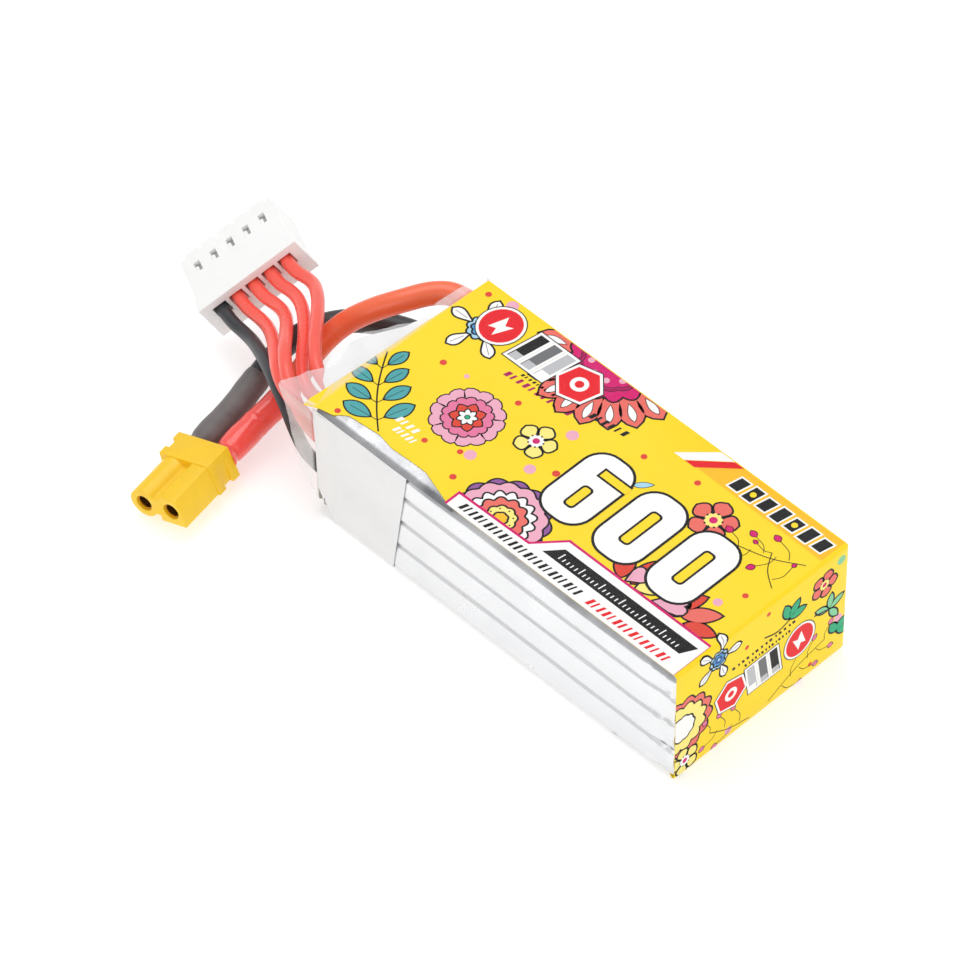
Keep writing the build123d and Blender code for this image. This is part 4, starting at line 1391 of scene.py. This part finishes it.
class PACK_OT_print(bpy.types.Operator):
    """Prints flowers, leaves, figures and marks on the label, one piece for each ink"""

    bl_idname = "pack.print"
    bl_label = "Printed pattern"

    def execute(self, context):
        settings = context.scene.pack_label
        press = Press(settings.line_width / MM)
        draw_top(press)
        draw_end(press)
        draw_underside(press)
        step = settings.layer_step / MM
        borders = (
            ((0, LABEL_EDGE, 0), (0, 1, 0)), ((0, -LABEL_EDGE, 0), (0, -1, 0)),
            ((UNDER_STOP, 0, 0), (1, 0, 0)), ((-0.7, 0, 0), (-1, 0.047, 0)),
        )
        for colour, shapes in press.shapes.items():
            vertices, faces = [], []
            for outline, layer in shapes:
                ordered = outline if signed_area(outline) > 0 else outline[::-1]
                faces.append(range(len(vertices), len(vertices) + len(ordered)))
                vertices += [(x, y, FIRST_LAYER + step * layer) for x, y in ordered]
            mesh = bpy.data.meshes.new(f"print_{colour}")
            mesh.from_pydata(vertices, [], faces)
            mesh.validate()
            sheet = bpy.data.objects.new(mesh.name, mesh)
            context.scene.collection.objects.link(sheet)
            open_mesh(sheet)
            bpy.ops.mesh.quads_convert_to_tris(quad_method="BEAUTY", ngon_method="BEAUTY")
            for place, outward in borders:
                bpy.ops.mesh.select_all(action="SELECT")
                bpy.ops.mesh.bisect(plane_co=place, plane_no=outward, clear_outer=True)
            close_mesh()
            slice_at(sheet, FOLD_CUTS, (1, 0, 0))
            slice_at(sheet, [-DROOP_START, DROOP_START], (0, 1, 0))
            for vertex in sheet.data.vertices:
                u, v, lift = vertex.co
                vertex.co = wrap(u, v, lift - droop(v))
            modify(sheet, "SOLIDIFY", thickness=step * 0.6 * MM, offset=-1)
            ink(f"ink_{colour}", settings.ground if colour == "ground" else INKS[colour])
            hand_over(sheet, f"ink_{colour}", "printed_film")
        return {"FINISHED"}


# ---------------------------------------------------------------- clear sleeve
MOUTH_REACH = (
    # turn round the opening in degrees from +Y towards +Z, and how far the film stands out in millimetres
    (0, 1.6), (45, 0.7), (55, 1.7), (62, 1.9), (75, 1.3), (87, 3.2), (101, 5.1), (120, 3.6), (129, 5.2), (135, 6.2),
    (150, 5.3), (167, 4.7), (189, 3.8), (203, 2.3), (212, 0.2), (328, 0.2), (345, 0.9), (360, 1.6),
)


def mouth_reach(y, z):
    """How far the mouth's film stands out there, in millimetres."""
    angle = math.degrees(math.atan2(z, y)) % 360
    for (a, first), (b, second) in zip(MOUTH_REACH, MOUTH_REACH[1:]):
        if a <= angle <= b:
            share = (angle - a) / (b - a)
            return first + (second - first) * share * share * (3 - 2 * share)


class PACK_OT_clear_sleeve(bpy.types.Operator):
    """Shrinks the clear sleeve round the pack, with a crinkled mouth at the wire end"""

    bl_idname = "pack.clear_sleeve"
    bl_label = "Clear sleeve"

    def execute(self, context):
        settings = context.scene.pack_wrap
        low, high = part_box("shrink_sleeve")
        centre, size = (low + high) / 2, high - low
        half_width, half_height = size.y / 2, size.z / 2
        film = new_box("clear_wrap", centre, size)
        cut_away(film, lambda face: face.normal.x < -0.9)
        open_mesh(film, "FACE", lambda face: face.normal.x > 0.9)
        bpy.ops.mesh.inset(thickness=1.5 * MM)
        bpy.ops.mesh.delete(type="FACE")
        close_mesh()

        def on_corner(edge):
            if runs_lengthwise(edge):
                return True
            offset = middle(edge) - centre
            return edge.is_manifold and offset.x > size.x / 2 - 0.00001 and (
                abs(offset.y) > half_width - 0.00001 or abs(offset.z) > half_height - 0.00001
            )

        round_edges(film, on_corner, 0.6 * MM)
        start = -0.0298  # the mouth begins just before the pouches' wire end
        slice_at(film, [start - 0.0004 * step for step in range(14)] + [-0.02, -0.01, 0, 0.01, 0.02], (1, 0, 0))
        slice_at(film, [-0.0138 + 0.0012 * step for step in range(24)], (0, 1, 0))
        slice_at(film, [0.0012 + 0.0012 * step for step in range(15)], (0, 0, 1))
        depth = start - low.x
        for vertex in film.data.vertices:
            here = vertex.co
            out = (start - here.x) / depth
            if out <= 0:
                continue
            y, z = here.y / half_width, (here.z - centre.z) / half_height
            reach = mouth_reach(y, z)
            here.x = start - out * (reach + 0.2) * MM
            gone = (start - here.x) / MM
            wave = noise.noise(Vector((here.x * 90, here.y * 190, here.z * 190)))
            fine = noise.noise(Vector((here.x * 300, here.y * 520, here.z * 520)))
            side = Vector((0, y, z)).normalized()
            shrink = (0.05 * gone + 0.01 * gone * gone) * MM
            bulge = (wave * 1.0 + fine * 0.35) * settings.mouth_crinkle * min(1.0, gone / 1.5)
            here.y += side.y * (bulge - shrink)
            here.z += side.z * (bulge - shrink * 0.7)
            if here.y < 0 and here.z > centre.z:
                corner = max(0.0, 1 - math.hypot(abs(here.y) - half_width, here.z - high.z) / 0.006)
                lift = MM * corner * min(1.0, gone / 3)
                here.y -= 0.55 * lift
                here.z += 0.1 * lift
            here.x += fine * 0.08 * MM * out
            here.z = max(0.00002, here.z)
        give_wall(film, settings.film_thickness, 60)
        hand_over(film, "clear_shrink_film", "clear_film", "shrink_sleeve")
        return {"FINISHED"}


# ---------------------------------------------------------------- a cord step that does nothing
class PACK_OT_declare_cords(bpy.types.Operator):
    """Takes no step: no cord's length, nor what is on it, is stated"""

    bl_idname = "pack.declare_cords"
    bl_label = "Cord facts"

    def execute(self, context):
        return {"FINISHED"}


# ---------------------------------------------------------------- stage
class PACK_OT_stage(bpy.types.Operator):
    """Sets the camera, the floor and the soft light"""

    bl_idname = "pack.stage"
    bl_label = "Stage"

    def execute(self, context):
        settings = context.scene.pack_stage
        scene = context.scene
        scene.view_settings.view_transform = "Standard"
        bpy.ops.mesh.primitive_plane_add(size=6, location=(0, 0, -0.00006))
        floor = fresh("floor")
        settle(floor)
        paint = finish(
            "floor_paint", settings.floor, shade(settings.floor, 0.985), 0.6, 0.75, 6, 900, 0.02, 0.02, None,
            {"Emission Color": (1, 1, 1, 1), "Emission Strength": settings.glow},
        )
        floor.data.materials.append(paint)

        azimuth, elevation = math.radians(45), math.radians(48.6)
        back = Vector((
            math.sin(azimuth) * math.cos(elevation), -math.cos(azimuth) * math.cos(elevation), math.sin(elevation),
        ))
        aim = Vector((-0.01407, -0.00205, 0.0075))  # the point in the middle of the view, a metre away
        view = bpy.data.cameras.new("camera")
        view.lens = 308.6
        view.sensor_width = 36
        view.clip_start = 0.01
        camera = bpy.data.objects.new("camera", view)
        scene.collection.objects.link(camera)
        camera.location = aim + back
        camera.rotation_euler = (-back).to_track_quat("-Z", "Y").to_euler()
        scene.camera = camera

        world = bpy.data.worlds.new("studio")
        world.use_nodes = True
        background = world.node_tree.nodes["Background"]
        background.inputs["Color"].default_value = (1, 1, 1, 1)
        background.inputs["Strength"].default_value = settings.fill
        scene.world = world
        for name, place, size, power in (
            ("key", (-0.22, 0.12, 0.6), 0.5, settings.key_power),
            ("side", (0.15, -0.6, 0.35), 0.4, settings.key_power * 0.35),
            ("end", (0.6, 0.05, 0.22), 0.4, settings.key_power * 0.35),
        ):
            light = bpy.data.lights.new(name, "AREA")
            light.size = size
            light.energy = power
            lamp = bpy.data.objects.new(name, light)
            lamp.location = place
            lamp.rotation_euler = (-Vector(place)).to_track_quat("-Z", "Y").to_euler()
            scene.collection.objects.link(lamp)
        return {"FINISHED"}


class PACK_OT_finishes(bpy.types.Operator):
    """Makes the pack's materials and the node groups that they share"""

    bl_idname = "pack.finishes"
    bl_label = "Finishes"

    def execute(self, context):
        make_finishes(context.scene)
        return {"FINISHED"}


class PACK_PT_panel(bpy.types.Panel):
    """Lists the pack's pieces in the order in which they are made"""

    bl_idname = "PACK_PT_panel"
    bl_label = "Battery Pack"
    bl_space_type = "VIEW_3D"
    bl_region_type = "UI"
    bl_category = "Battery Pack"

    def draw(self, context):
        for step in STEPS:
            self.layout.operator(step.bl_idname)
        for group in GROUPS:
            owner = getattr(context.scene, group)
            for key in owner.__annotations__:
                self.layout.prop(owner, key)


GROUPS = {
    "pack_wires": WireSettings,
    "pack_label": LabelSettings,
    "pack_wrap": WrapSettings,
    "pack_plugs": PlugSettings,
    "pack_stage": StageSettings,
}
STEPS = (
    PACK_OT_finishes,
    PACK_OT_stage,
    PACK_OT_cords,
    PACK_OT_heat_shrinks,
    PACK_OT_power_plug,
    PACK_OT_balance_plug,
    PACK_OT_pouches,
    PACK_OT_paper,
    PACK_OT_label,
    PACK_OT_print,
    PACK_OT_clear_sleeve,
    PACK_OT_inner_parts,
    PACK_OT_declare_cords,
)


def register():
    for settings in GROUPS.values():
        bpy.utils.register_class(settings)
    for step in (*STEPS, PACK_PT_panel):
        bpy.utils.register_class(step)
    for name, settings in GROUPS.items():
        setattr(bpy.types.Scene, name, PointerProperty(type=settings))


def unregister():
    for name in GROUPS:
        delattr(bpy.types.Scene, name)
    for step in (PACK_PT_panel, *reversed(STEPS)):
        bpy.utils.unregister_class(step)
    for settings in reversed(GROUPS.values()):
        bpy.utils.unregister_class(settings)


def main():
    register()
    for step in STEPS:
        group, action = step.bl_idname.split(".")
        getattr(getattr(bpy.ops, group), action)()


if __name__ == "__main__":
    main()
